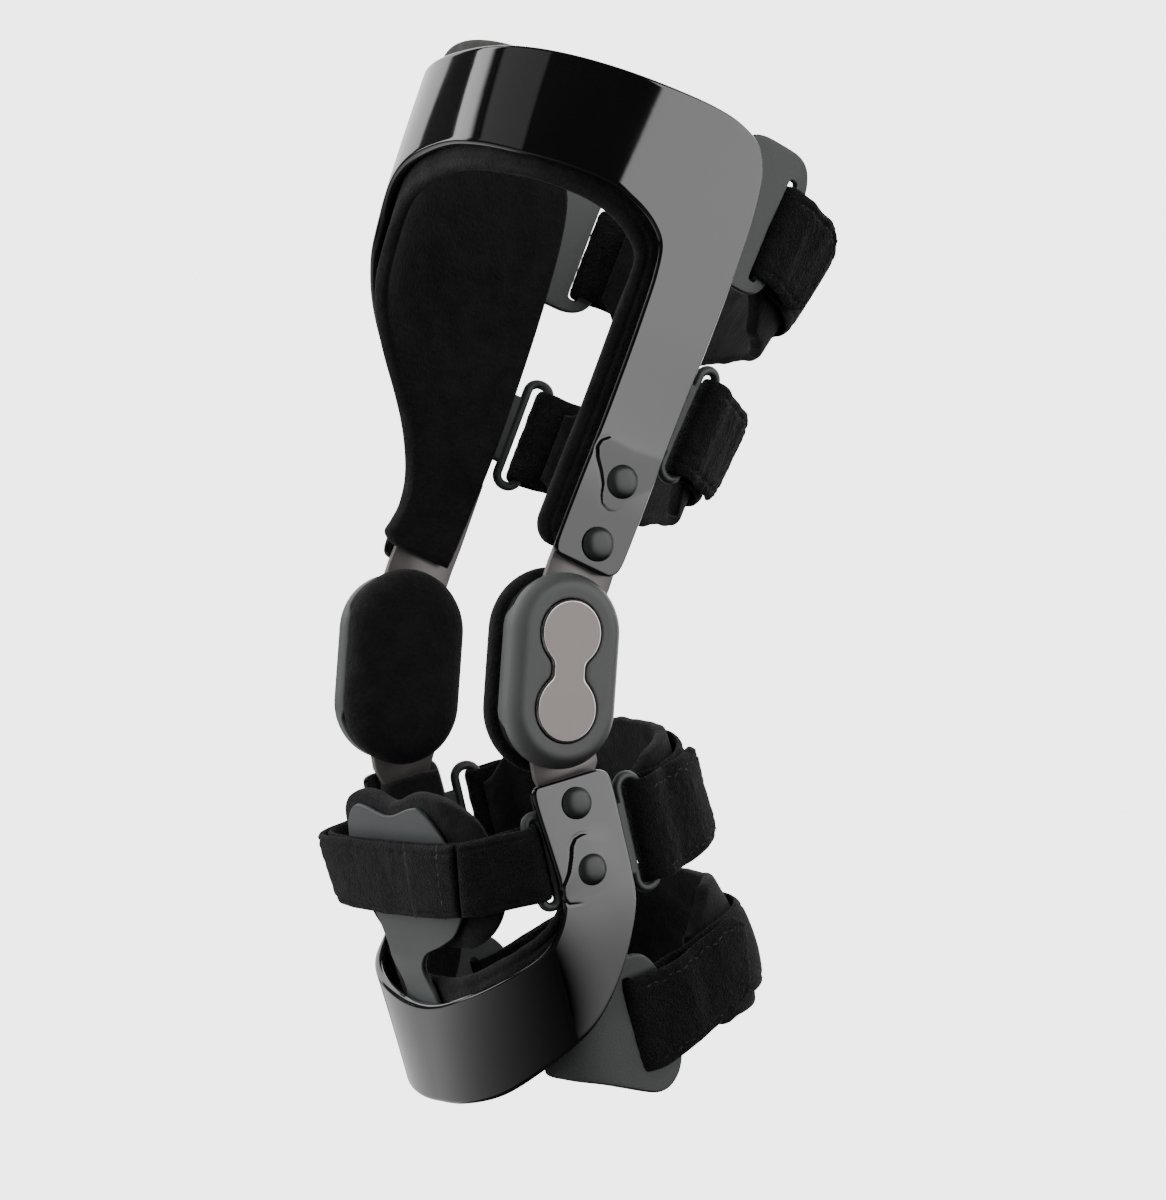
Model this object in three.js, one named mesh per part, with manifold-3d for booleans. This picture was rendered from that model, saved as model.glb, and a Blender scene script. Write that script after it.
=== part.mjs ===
// Hinged knee brace: two rigid shells, a two-pivot hinge on each side, straps behind the leg.
// Millimetres, Z up, the wearer's front towards -Y, the outer side of the leg towards +X.
// The origin is the middle of the knee, halfway between the two hinges.
import * as THREE from 'three';
import { mergeVertices } from 'three/addons/utils/BufferGeometryUtils.js';
import Module from 'manifold-3d';

const wasm = await Module();
wasm.setup();

// How the leg is bent
const HINGE_TILT = 4.5;
const HALF_BEND = 19;
const PIVOT_TO_CENTRE = 13.8;

// Wall thicknesses and clearances
const CLEARANCE = 0.3;
const FRAME_WALL = 3.5;
const BAR_WALL = 3;
const TAB_WALL = 2.5;
const TIBIAL_PLATE_WALL = 2.2;
const LINER_WALL = 5;
const PAD_WALL = 6;
const STRAP_WALL = 2.2;
const EDGE_CUT = 1.1;

// Hinge, measured sideways from the middle of the knee
const FRAME_FACE = 72.5;
const BAR_OUTER = FRAME_FACE - FRAME_WALL - 0.5;
const BAR_INNER = BAR_OUTER - BAR_WALL;
const COVER_RADIUS = 22;
const COVER_FACE = 77.5;
const INSERT_LOBE_RADIUS = 12.2;
const INSERT_WAIST = 7;
const INSERT_DEPTH = 1;
const INSERT_RISE = 0.7;
const PLATE_WALL = 2.5;
const PLATE_RADIUS = 20.6;
const PIN_RADIUS = 4;
const RIM_WALL = 3;
const RIM_FRONT_REACH = 23;
const RIM_BACK_REACH = 10.5;
const STADIUM_SEGMENTS = 11;

// Depth of a layer below the outer face of the frame
const UNDER_FRAME = -FRAME_WALL - CLEARANCE;
const UNDER_BARS = UNDER_FRAME - BAR_WALL - 0.5;

// Rivets
const RIVET_RADIUS = 6.4;
const RIVET_RISE = 2.8;
const RIVET_ACROSS = -0.6;
const THIGH_RIVET_HEIGHTS = [35, 60];
const SHIN_RIVET_HEIGHTS = [-35, -60];

// Strap loops
const LOOP_WIRE = 2.2;
const FRONT_LOOP_WIRE = 1.8;
const LOOP_CORNER = 6;
const THIGH_LOOP = { front: 102, top: 114.2, bottom: 70, tongue: 93.5, tongue_top: 106, tongue_bottom: 78 };
const CALF_LOOP = { front: 104, top: -31.4, bottom: -74.6, tongue: 96.4, tongue_top: -40, tongue_bottom: -68 };
const TIBIAL_LOOP = { back: 79.4, top: -36, bottom: -70 };
const TONGUE_WALL = 2.6;

// Slots of the grey plates, from their upper to their lower end
const THIGH_SLOT = [
  { height: 191, front_angle: 101.6, back_angle: 107.2 },
  { height: 151, front_angle: 101.6, back_angle: 107.2 },
];
const CALF_SLOT = [
  { height: -103.5, front_angle: 91.4, back_angle: 96.8 },
  { height: -143.5, front_angle: 96.2, back_angle: 101.6 },
];

// Hinge bars beyond the round end: half widths at a distance from the pivot
const BAR_END_RADIUS = 12.6;
const UPPER_BAR = [
  { front: 13.4, back: 12.4, away: 12 },
  { front: 14, back: 12.4, away: 23 },
  { front: 14, back: 12, away: 30 },
  { front: 14, back: 12, away: 40 },
  { front: 13, back: 11, away: 67 },
  { front: 11, back: 9, away: 69 },
];
const LOWER_BAR = [
  { front: 13.4, back: 12.4, away: 12 },
  { front: 14, back: 12.4, away: 23 },
  { front: 12, back: 8, away: 30 },
  { front: 10, back: 6.4, away: 40 },
  { front: 9, back: 6.4, away: 64 },
  { front: 7, back: 4.4, away: 66 },
];

// Soft pad inside the hinge: radius at a distance in from its outer face
const CONDYLE_PAD = [
  { inward: 0, radius: 22.6 },
  { inward: 2, radius: 24 },
  { inward: 7.5, radius: 22.4 },
  { inward: 10.5, radius: 15.5 },
];

// Sections across the leg. Height is along the limb from its own pivot; squareness 2 is an ellipse.
const THIGH_SECTIONS = [
  { height: 0, half_width: 72.5, front: 70, back: 50, front_square: 5, back_square: 3.4 },
  { height: 70, half_width: 72.6, front: 74, back: 51, front_square: 4, back_square: 3.2 },
  { height: 120, half_width: 76, front: 84, back: 54, front_square: 3.2, back_square: 2.8 },
  { height: 180, half_width: 80, front: 92, back: 66, front_square: 2.6, back_square: 2.4 },
  { height: 220, half_width: 82, front: 95, back: 72, front_square: 2.4, back_square: 2.4 },
];
const SHIN_SECTIONS = [
  { height: -170, half_width: 60, front: 50, back: 76, front_square: 2.3, back_square: 2.3 },
  { height: -120, half_width: 65.4, front: 49, back: 82, front_square: 2.6, back_square: 2.4 },
  { height: -68, half_width: 72.3, front: 46, back: 66, front_square: 3.6, back_square: 3 },
  { height: 0, half_width: 72.5, front: 46, back: 60, front_square: 5, back_square: 3.4 },
];

// Thigh frame from the outer hinge over the front to the inner hinge. Angle 0 is the front of the
// leg and 90 its outer side. The arch edge faces the knee, the rim edge faces away from it.
const THIGH_FRAME = [
  { arch_angle: 80.2, arch_height: 25.2, rim_angle: 97, rim_height: 25.2 },
  { arch_angle: 78, arch_height: 26.2, rim_angle: 99, rim_height: 26.2 },
  { arch_angle: 77, arch_height: 29, rim_angle: 100, rim_height: 29 },
  { arch_angle: 76.8, arch_height: 36, rim_angle: 100.2, rim_height: 36 },
  { arch_angle: 76.8, arch_height: 56, rim_angle: 100.2, rim_height: 56 },
  { arch_angle: 76.9, arch_height: 78, rim_angle: 100, rim_height: 77 },
  { arch_angle: 76.4, arch_height: 100, rim_angle: 99.3, rim_height: 101 },
  { arch_angle: 75.7, arch_height: 120, rim_angle: 98.6, rim_height: 126 },
  { arch_angle: 75, arch_height: 134, rim_angle: 97.6, rim_height: 150 },
  { arch_angle: 73.4, arch_height: 144.5, rim_angle: 96, rim_height: 172 },
  { arch_angle: 69.5, arch_height: 150.5, rim_angle: 93.5, rim_height: 187 },
  { arch_angle: 63.5, arch_height: 155, rim_angle: 89.5, rim_height: 195.5 },
  { arch_angle: 56, arch_height: 157.6, rim_angle: 83, rim_height: 199.6 },
  { arch_angle: 46, arch_height: 158, rim_angle: 74, rim_height: 200.5 },
  { arch_angle: 33, arch_height: 158, rim_angle: 58, rim_height: 198.7 },
  { arch_angle: 20, arch_height: 159, rim_angle: 38, rim_height: 196.8 },
  { arch_angle: 8, arch_height: 159.5, rim_angle: 18, rim_height: 196 },
  { arch_angle: -4, arch_height: 158, rim_angle: -3, rim_height: 196 },
  { arch_angle: -15, arch_height: 154.5, rim_angle: -22, rim_height: 196.5 },
  { arch_angle: -24, arch_height: 149, rim_angle: -40, rim_height: 198 },
  { arch_angle: -30.5, arch_height: 140, rim_angle: -57, rim_height: 199.5 },
  { arch_angle: -35, arch_height: 128, rim_angle: -72, rim_height: 200.5 },
  { arch_angle: -41.5, arch_height: 118, rim_angle: -82, rim_height: 199.5 },
  { arch_angle: -47.5, arch_height: 109, rim_angle: -89.5, rim_height: 195 },
  { arch_angle: -54, arch_height: 99.5, rim_angle: -93.5, rim_height: 186 },
  { arch_angle: -61, arch_height: 89, rim_angle: -96, rim_height: 170 },
  { arch_angle: -68, arch_height: 77, rim_angle: -97.6, rim_height: 148 },
  { arch_angle: -73.5, arch_height: 64, rim_angle: -98.8, rim_height: 122 },
  { arch_angle: -76.2, arch_height: 52, rim_angle: -99.6, rim_height: 92 },
  { arch_angle: -76.8, arch_height: 42, rim_angle: -100.1, rim_height: 64 },
  { arch_angle: -76.8, arch_height: 34, rim_angle: -100.2, rim_height: 42 },
  { arch_angle: -77, arch_height: 29, rim_angle: -100, rim_height: 29 },
  { arch_angle: -78, arch_height: 26.2, rim_angle: -99, rim_height: 26.2 },
  { arch_angle: -80.2, arch_height: 25.2, rim_angle: -97, rim_height: 25.2 },
];

// Shin frame, outer half from the hinge to the middle of the front. The inner half mirrors it.
const SHIN_FRAME_HALF = [
  { arch_angle: 79.5, arch_height: -25.2, rim_angle: 96.5, rim_height: -25.2 },
  { arch_angle: 77.6, arch_height: -26.2, rim_angle: 99, rim_height: -26.2 },
  { arch_angle: 76.9, arch_height: -29, rim_angle: 100.4, rim_height: -29 },
  { arch_angle: 77.2, arch_height: -36, rim_angle: 101, rim_height: -36 },
  { arch_angle: 77.8, arch_height: -50, rim_angle: 101.5, rim_height: -50 },
  { arch_angle: 78, arch_height: -64, rim_angle: 101.8, rim_height: -65 },
  { arch_angle: 76.8, arch_height: -72.5, rim_angle: 101, rim_height: -77 },
  { arch_angle: 73, arch_height: -81, rim_angle: 98.4, rim_height: -87 },
  { arch_angle: 67, arch_height: -87, rim_angle: 94.2, rim_height: -98 },
  { arch_angle: 58, arch_height: -91.5, rim_angle: 88, rim_height: -109 },
  { arch_angle: 46, arch_height: -96, rim_angle: 79, rim_height: -119 },
  { arch_angle: 33, arch_height: -99.3, rim_angle: 64, rim_height: -128 },
  { arch_angle: 20, arch_height: -101.7, rim_angle: 44, rim_height: -137 },
  { arch_angle: 9, arch_height: -102.8, rim_angle: 21, rim_height: -140.5 },
  { arch_angle: 0, arch_height: -103.1, rim_angle: 0, rim_height: -141 },
];

// How far the foam linings stand out past the frames
const THIGH_LINER_REACH = 8.5;
const SHIN_LINER_REACH = 8;
const LINER_INSET = 3;
const LINER_TOP_REACH = 4.5;
const LINER_GAP = 0.75;
const LINER_SKIPPED_ROWS = 2;

// Rows between which a frame bends round the front and is divided finer
const THIGH_BEND = { first: 10, last: 24 };
const SHIN_BEND = { first: 7, last: 21 };

// Grey plates and pads on the limb: side edges at a height
const THIGH_TAB = [
  { height: 201.5, left: 92, right: 103 },
  { height: 200, left: 88, right: 107 },
  { height: 196, left: 86, right: 110 },
  { height: 190, left: 85, right: 111.8 },
  { height: 178, left: 85, right: 112.6 },
  { height: 165, left: 85.5, right: 112.8 },
  { height: 156, left: 87, right: 112.4 },
  { height: 150, left: 89, right: 111 },
  { height: 146.5, left: 92, right: 108 },
  { height: 145, left: 95.5, right: 104 },
];
const CALF_TAB = [
  { height: -96.5, left: 95, right: 101 },
  { height: -98.5, left: 92, right: 104 },
  { height: -102, left: 88.5, right: 106.8 },
  { height: -108, left: 84, right: 109.5 },
  { height: -116, left: 77, right: 112 },
  { height: -124, left: 69, right: 113.6 },
  { height: -131, left: 60, right: 114.6 },
  { height: -136, left: 68, right: 114.8 },
  { height: -141, left: 80, right: 114.2 },
  { height: -146, left: 90.5, right: 112.4 },
  { height: -149.5, left: 98, right: 109 },
  { height: -151, left: 102, right: 106 },
];
const TIBIAL_PLATE = [
  { height: -30.5, left: -26, right: 32 },
  { height: -32.5, left: -32, right: 37.5 },
  { height: -36, left: -36.5, right: 42 },
  { height: -42, left: -39, right: 45.5 },
  { height: -54, left: -40, right: 47 },
  { height: -64, left: -36, right: 46.5 },
  { height: -70, left: -29, right: 43.5 },
  { height: -76, left: -25, right: 37.5 },
  { height: -80, left: -21.5, right: 27 },
  { height: -83, left: -19.5, right: 15 },
  { height: -86.5, left: -18.5, right: 9 },
  { height: -91, left: -18.5, right: 5 },
  { height: -97, left: -19, right: 5.5 },
  { height: -102, left: -20, right: 9 },
  { height: -108, left: -21, right: 12 },
];
const TIBIAL_PAD = [
  { height: -26, left: -32, right: 44 },
  { height: -28, left: -40, right: 50 },
  { height: -32, left: -46, right: 56 },
  { height: -38, left: -50, right: 59.5 },
  { height: -50, left: -52, right: 62 },
  { height: -62, left: -50, right: 62 },
  { height: -70, left: -45, right: 59.5 },
  { height: -76, left: -38, right: 55 },
  { height: -80, left: -30, right: 49 },
  { height: -82.5, left: -22, right: 42 },
];
const PLATE_MIDDLE = 3;
const PLATE_DIP = 4;

// Straps behind the leg: heights at the loop and behind, the bar they fold round, how far they stand out
const UPPER_THIGH = {
  sections: THIGH_SECTIONS,
  loop_height: 171, back_height: 168, half_width: 18.5, bar_angle: 107.4, bar_slant: 0,
  bar_depth: -5.4, bar_half: 1.6, bar_width: 6.2, flap_end: 136, back_stand: 5, pad_top: 23, pad_bottom: 31,
};
const LOWER_THIGH = {
  sections: THIGH_SECTIONS,
  loop_height: 92.1, back_height: 93, half_width: 18.6, bar_angle: 110, bar_slant: 0,
  bar_depth: -5.6, bar_half: 2.6, bar_width: 2.2, flap_end: 142, back_stand: 3, pad_top: 20, pad_bottom: 36,
};
const UPPER_CALF = {
  sections: SHIN_SECTIONS,
  loop_height: -53, back_height: -46, half_width: 18.2, bar_angle: 113, bar_slant: 0,
  bar_depth: -5.6, bar_half: 2.6, bar_width: 2.2, flap_end: 146, back_stand: 5, pad_top: 24, pad_bottom: 22,
};
const LOWER_CALF = {
  sections: SHIN_SECTIONS,
  loop_height: -123.5, back_height: -112, half_width: 18, bar_angle: 99.4, bar_slant: 0.12,
  bar_depth: -5.45, bar_half: 1.7, bar_width: 16.5, flap_end: 142, back_stand: 3.5, pad_top: 34, pad_bottom: 24,
};
const FOLD_ANGLE = 8;
const PAD_HALF_ANGLE = 66;
const PAD_GAP = 0.9;

// Front strap over the tibial plate
const TIBIAL_STRAP = { height: -53, half_width: 14, bar_angle: 73, bar_depth: -5.3, flap_end: 40 };
const TIBIAL_STRAP_STAND = 1.5;

const radians = THREE.MathUtils.degToRad;
const thighTilt = -radians(HINGE_TILT + HALF_BEND);
const shinTilt = radians(HALF_BEND - HINGE_TILT);
const hingeTilt = -radians(HINGE_TILT);

// Small helpers

function ease(from, to, value) {
  const part = Math.min(1, Math.max(0, (value - from) / (to - from)));
  return part * part * (3 - 2 * part);
}

function mix(from, to, part) {
  return from + (to - from) * part;
}

// Smooth curve through equally spaced values
function throughValues(values, place) {
  const last = values.length - 1;
  const index = Math.min(last - 1, Math.max(0, Math.floor(place)));
  const part = place - index;
  const start = values[index];
  const end = values[index + 1];
  const before = values[Math.max(0, index - 1)];
  const after = values[Math.min(last, index + 2)];
  const slopeIn = (end - before) / 2;
  const slopeOut = (after - start) / 2;
  const square = part * part;
  const cube = square * part;
  return (2 * cube - 3 * square + 1) * start + (cube - 2 * square + part) * slopeIn
    + (3 * square - 2 * cube) * end + (cube - square) * slopeOut;
}

function rowAt(rows, place) {
  const row = {};
  for (const key of Object.keys(rows[0])) {
    row[key] = throughValues(rows.map((entry) => entry[key]), place);
  }
  return row;
}

// Shared slope of two neighbouring spans that never overshoots either
function gentler(first, second) {
  return first * second > 0 ? 2 * first * second / (first + second) : 0;
}

// Section of the limb at a height, smooth between the rows
function sectionAt(sections, height) {
  const last = sections.length - 1;
  const held = Math.min(sections[last].height, Math.max(sections[0].height, height));
  let index = 0;
  while (index < last - 1 && held > sections[index + 1].height) {
    index += 1;
  }
  const low = sections[index];
  const high = sections[index + 1];
  const below = sections[Math.max(0, index - 1)];
  const above = sections[Math.min(last, index + 2)];
  const span = high.height - low.height;
  const part = (held - low.height) / span;
  const square = part * part;
  const cube = square * part;
  const section = {};
  for (const key of Object.keys(low)) {
    const slope = (high[key] - low[key]) / span;
    const slopeLow = index > 0 ? gentler((low[key] - below[key]) / (low.height - below.height), slope) : slope;
    const slopeHigh = index < last - 1
      ? gentler((above[key] - high[key]) / (above.height - high.height), slope) : slope;
    section[key] = (2 * cube - 3 * square + 1) * low[key] + (cube - 2 * square + part) * slopeLow * span
      + (3 * square - 2 * cube) * high[key] + (cube - square) * slopeHigh * span;
  }
  return section;
}

// Point at an angle round the limb, a height along it and a depth from the outer face of the frame
function limbPoint(sections, angle, height, depth) {
  const section = sectionAt(sections, height);
  const sideways = Math.sin(radians(angle));
  const forward = Math.cos(radians(angle));
  const long = (forward > 0 ? section.front : section.back) + depth;
  const wide = section.half_width + depth;
  const square = forward > 0 ? section.front_square : section.back_square;
  const sum = Math.abs(sideways / wide) ** square + Math.abs(forward / long) ** square;
  const reach = sum ** (-1 / square);
  return new THREE.Vector3(reach * sideways, -reach * forward, height);
}

function outwardAt(sections, angle, height) {
  const inner = limbPoint(sections, angle, height, -1);
  return limbPoint(sections, angle, height, 1).sub(inner).normalize();
}

// Angle for a distance across the side of the limb, measured from the pivot line towards the back
function sideAngle(sections, across, height) {
  return 90 + THREE.MathUtils.radToDeg(Math.atan2(across, sectionAt(sections, height).half_width));
}

function signedVolume(positions, indices) {
  const a = new THREE.Vector3();
  const b = new THREE.Vector3();
  const c = new THREE.Vector3();
  let total = 0;
  for (let corner = 0; corner < indices.length; corner += 3) {
    a.fromArray(positions, indices[corner] * 3);
    b.fromArray(positions, indices[corner + 1] * 3);
    c.fromArray(positions, indices[corner + 2] * 3);
    total += a.dot(b.cross(c));
  }
  return total;
}

function geometryFrom(positions, indices) {
  if (signedVolume(positions, indices) < 0) {
    for (let corner = 0; corner < indices.length; corner += 3) {
      const kept = indices[corner];
      indices[corner] = indices[corner + 1];
      indices[corner + 1] = kept;
    }
  }
  const geometry = new THREE.BufferGeometry();
  geometry.setAttribute('position', new THREE.Float32BufferAttribute(positions, 3));
  geometry.setIndex(indices);
  return geometry;
}

// Closed solid through equal rings of points. A ring is listed so that its first and last points
// face each other, and so on inwards; the end faces are closed between such pairs.
function solidThrough(rings, isLoop = false) {
  const count = rings[0].length;
  const positions = [];
  const indices = [];
  for (const ring of rings) {
    for (const point of ring) {
      positions.push(point.x, point.y, point.z);
    }
  }
  const spans = isLoop ? rings.length : rings.length - 1;
  for (let span = 0; span < spans; span += 1) {
    const here = span * count;
    const next = ((span + 1) % rings.length) * count;
    for (let side = 0; side < count; side += 1) {
      const other = (side + 1) % count;
      indices.push(here + side, next + side, next + other);
      indices.push(here + side, next + other, here + other);
    }
  }
  if (!isLoop) {
    const end = (rings.length - 1) * count;
    for (let side = 0; side < count / 2 - 1; side += 1) {
      const facing = count - 1 - side;
      indices.push(side, side + 1, facing - 1);
      indices.push(side, facing - 1, facing);
      indices.push(end + side, end + facing - 1, end + side + 1);
      indices.push(end + side, end + facing, end + facing - 1);
    }
  }
  return geometryFrom(positions, indices);
}

function asManifold(geometry) {
  const bare = geometry.clone();
  bare.deleteAttribute('normal');
  bare.deleteAttribute('uv');
  const merged = mergeVertices(bare, 1e-4);
  return new wasm.Manifold(new wasm.Mesh({
    numProp: 3,
    vertProperties: new Float32Array(merged.attributes.position.array),
    triVerts: new Uint32Array(merged.index.array),
  }));
}

function fromManifold(solid) {
  const mesh = solid.getMesh();
  const positions = [];
  for (let vertex = 0; vertex < mesh.numVert; vertex += 1) {
    for (let axis = 0; axis < 3; axis += 1) {
      positions.push(mesh.vertProperties[vertex * mesh.numProp + axis]);
    }
  }
  return geometryFrom(positions, Array.from(mesh.triVerts));
}

function joined(first, second) {
  return fromManifold(asManifold(first).add(asManifold(second)));
}

function cut(body, tool) {
  return fromManifold(asManifold(body).subtract(asManifold(tool)));
}

function mirrored(geometry) {
  const copy = geometry.clone();
  copy.scale(-1, 1, 1);
  return geometryFrom(Array.from(copy.attributes.position.array), Array.from(copy.index.array));
}

// Walls that follow the limb

function plateRow(rows, place) {
  const row = rowAt(rows, place);
  return {
    arch_angle: row.left, arch_height: row.height, rim_angle: row.right, rim_height: row.height,
  };
}

// One ring of a wall: its outer face from the arch edge to the rim edge, then back along its inner face
function wallRing(form, place) {
  const row = form.row(place);
  const arch = limbPoint(form.sections, row.arch_angle, row.arch_height, 0);
  const rim = limbPoint(form.sections, row.rim_angle, row.rim_height, 0);
  const width = arch.distanceTo(rim);
  const from = form.from ? form.from(place, width) : 0;
  const to = form.to ? form.to(place, width) : 1;
  const bevel = Math.min(form.bevel / width, (to - from) * 0.25);
  const at = (across, below) => {
    const angle = mix(row.arch_angle, row.rim_angle, across);
    let height = mix(row.arch_height, row.rim_height, across);
    if (form.lift) {
      height += form.lift(angle, height);
    }
    return limbPoint(form.sections, angle, height, form.depth(angle, height) - below);
  };
  const outer = [];
  const inner = [];
  for (let step = 0; step <= form.columns; step += 1) {
    const across = mix(from + bevel, to - bevel, step / form.columns);
    outer.push(at(across, 0));
    inner.push(at(across, form.wall));
  }
  const ring = [at(from, form.bevel), ...outer, at(to, form.bevel)];
  ring.push(at(to, form.wall - form.bevel), ...inner.reverse(), at(from, form.wall - form.bevel));
  return ring;
}

function wallSolid(form) {
  const first = form.first ?? 0;
  const rings = [];
  let place = first;
  while (place <= form.last) {
    rings.push(wallRing(form, place));
    const isBend = form.bend && place >= form.bend.first && place < form.bend.last;
    place += isBend ? 0.5 : 1;
  }
  return solidThrough(rings);
}

const shinFrameRows = [
  ...SHIN_FRAME_HALF,
  ...SHIN_FRAME_HALF.slice(0, -1).reverse().map((row) => ({
    arch_angle: -row.arch_angle, arch_height: row.arch_height,
    rim_angle: -row.rim_angle, rim_height: row.rim_height,
  })),
];

const thighFrameGeometry = wallSolid({
  sections: THIGH_SECTIONS,
  row: (place) => rowAt(THIGH_FRAME, place),
  last: THIGH_FRAME.length - 1,
  bend: THIGH_BEND,
  columns: 3,
  wall: FRAME_WALL,
  bevel: EDGE_CUT,
  depth: () => 0,
});

const shinFrameGeometry = wallSolid({
  sections: SHIN_SECTIONS,
  row: (place) => rowAt(shinFrameRows, place),
  last: shinFrameRows.length - 1,
  bend: SHIN_BEND,
  columns: 3,
  wall: FRAME_WALL,
  bevel: EDGE_CUT,
  depth: () => 0,
});

// The lining lies close under the front band and deeper along the sides, behind the bars and plates
function thighLinerDepth(angle) {
  return mix(UNDER_FRAME - LINER_GAP, UNDER_BARS, ease(34, 62, Math.abs(angle)));
}

const thighLinerGeometry = wallSolid({
  sections: THIGH_SECTIONS,
  row: (place) => rowAt(THIGH_FRAME, place),
  first: LINER_SKIPPED_ROWS,
  last: THIGH_FRAME.length - 1 - LINER_SKIPPED_ROWS,
  bend: THIGH_BEND,
  columns: 3,
  wall: LINER_WALL,
  bevel: EDGE_CUT,
  depth: thighLinerDepth,
  from: (place, width) => -THIGH_LINER_REACH / width,
  to: (place, width) => {
    const rim = Math.abs(rowAt(THIGH_FRAME, place).rim_angle);
    return 1 + mix(LINER_TOP_REACH, -LINER_INSET, ease(18, 44, rim)) / width;
  },
});

const shinLinerGeometry = wallSolid({
  sections: SHIN_SECTIONS,
  row: (place) => rowAt(shinFrameRows, place),
  first: LINER_SKIPPED_ROWS,
  last: shinFrameRows.length - 1 - LINER_SKIPPED_ROWS,
  bend: SHIN_BEND,
  columns: 2,
  wall: LINER_WALL,
  bevel: EDGE_CUT,
  depth: () => UNDER_BARS,
  from: (place, width) => {
    const fromEnd = Math.min(place, shinFrameRows.length - 1 - place);
    return -mix(-1.5, SHIN_LINER_REACH, ease(5.5, 8, fromEnd)) / width;
  },
  to: (place, width) => 1 - LINER_INSET / width,
});

// Slotted plates

function slotTool(sections, [top, bottom]) {
  const rings = [];
  for (const depth of [-14, 6]) {
    const ring = [];
    for (const corner of [top, bottom]) {
      ring.push(limbPoint(sections, corner.front_angle, corner.height, depth));
    }
    for (const corner of [bottom, top]) {
      ring.push(limbPoint(sections, corner.back_angle, corner.height, depth));
    }
    rings.push(ring);
  }
  return solidThrough(rings);
}

const thighTabGeometry = cut(
  wallSolid({
    sections: THIGH_SECTIONS,
    row: (place) => plateRow(THIGH_TAB, place),
    last: THIGH_TAB.length - 1,
    columns: 3,
    wall: TAB_WALL,
    bevel: 0.6,
    depth: () => UNDER_FRAME - 0.3,
  }),
  slotTool(THIGH_SECTIONS, THIGH_SLOT),
);

const calfTabGeometry = cut(
  wallSolid({
    sections: SHIN_SECTIONS,
    row: (place) => plateRow(CALF_TAB, place),
    last: CALF_TAB.length - 1,
    columns: 4,
    wall: TAB_WALL,
    bevel: 0.6,
    depth: () => UNDER_FRAME - 0.55,
  }),
  slotTool(SHIN_SECTIONS, CALF_SLOT),
);

// Tongue over the shin bone and the pad behind it

function plateLift(angle, height) {
  const away = Math.min(60, Math.abs(angle - PLATE_MIDDLE));
  const bump = (1 - Math.cos(radians(away * 6))) / 2;
  return PLATE_DIP * bump * ease(-44, -28, height);
}

const tibialPlateGeometry = wallSolid({
  sections: SHIN_SECTIONS,
  row: (place) => plateRow(TIBIAL_PLATE, place),
  last: TIBIAL_PLATE.length - 1,
  columns: 5,
  wall: TIBIAL_PLATE_WALL,
  bevel: 0.6,
  lift: plateLift,
  depth: (angle, height) => mix(UNDER_FRAME - 0.2, -0.4, ease(-96, -78, height)),
});

const tibialPadGeometry = wallSolid({
  sections: SHIN_SECTIONS,
  row: (place) => plateRow(TIBIAL_PAD, place),
  last: TIBIAL_PAD.length - 1,
  columns: 5,
  wall: PAD_WALL,
  bevel: 1.8,
  lift: plateLift,
  depth: (angle, height) => mix(-6.6, -3.1, ease(-84, -76, height)) - 3.4 * ease(42, 60, Math.abs(angle)),
});

// Straps

// How far apart the two layers of a folded strap lie, and the depth of the middle between them
function strapSplit(form, fromBar) {
  const wide = 2 * (form.bar_half + 0.5) + STRAP_WALL;
  const close = STRAP_WALL + 0.5;
  return mix(wide, close, ease(form.bar_width, form.bar_width + FOLD_ANGLE, fromBar));
}

function strapMiddle(form, fromBar) {
  return mix(form.bar_depth, form.back_stand, ease(form.bar_width, 158 - form.bar_angle, fromBar));
}

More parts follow.
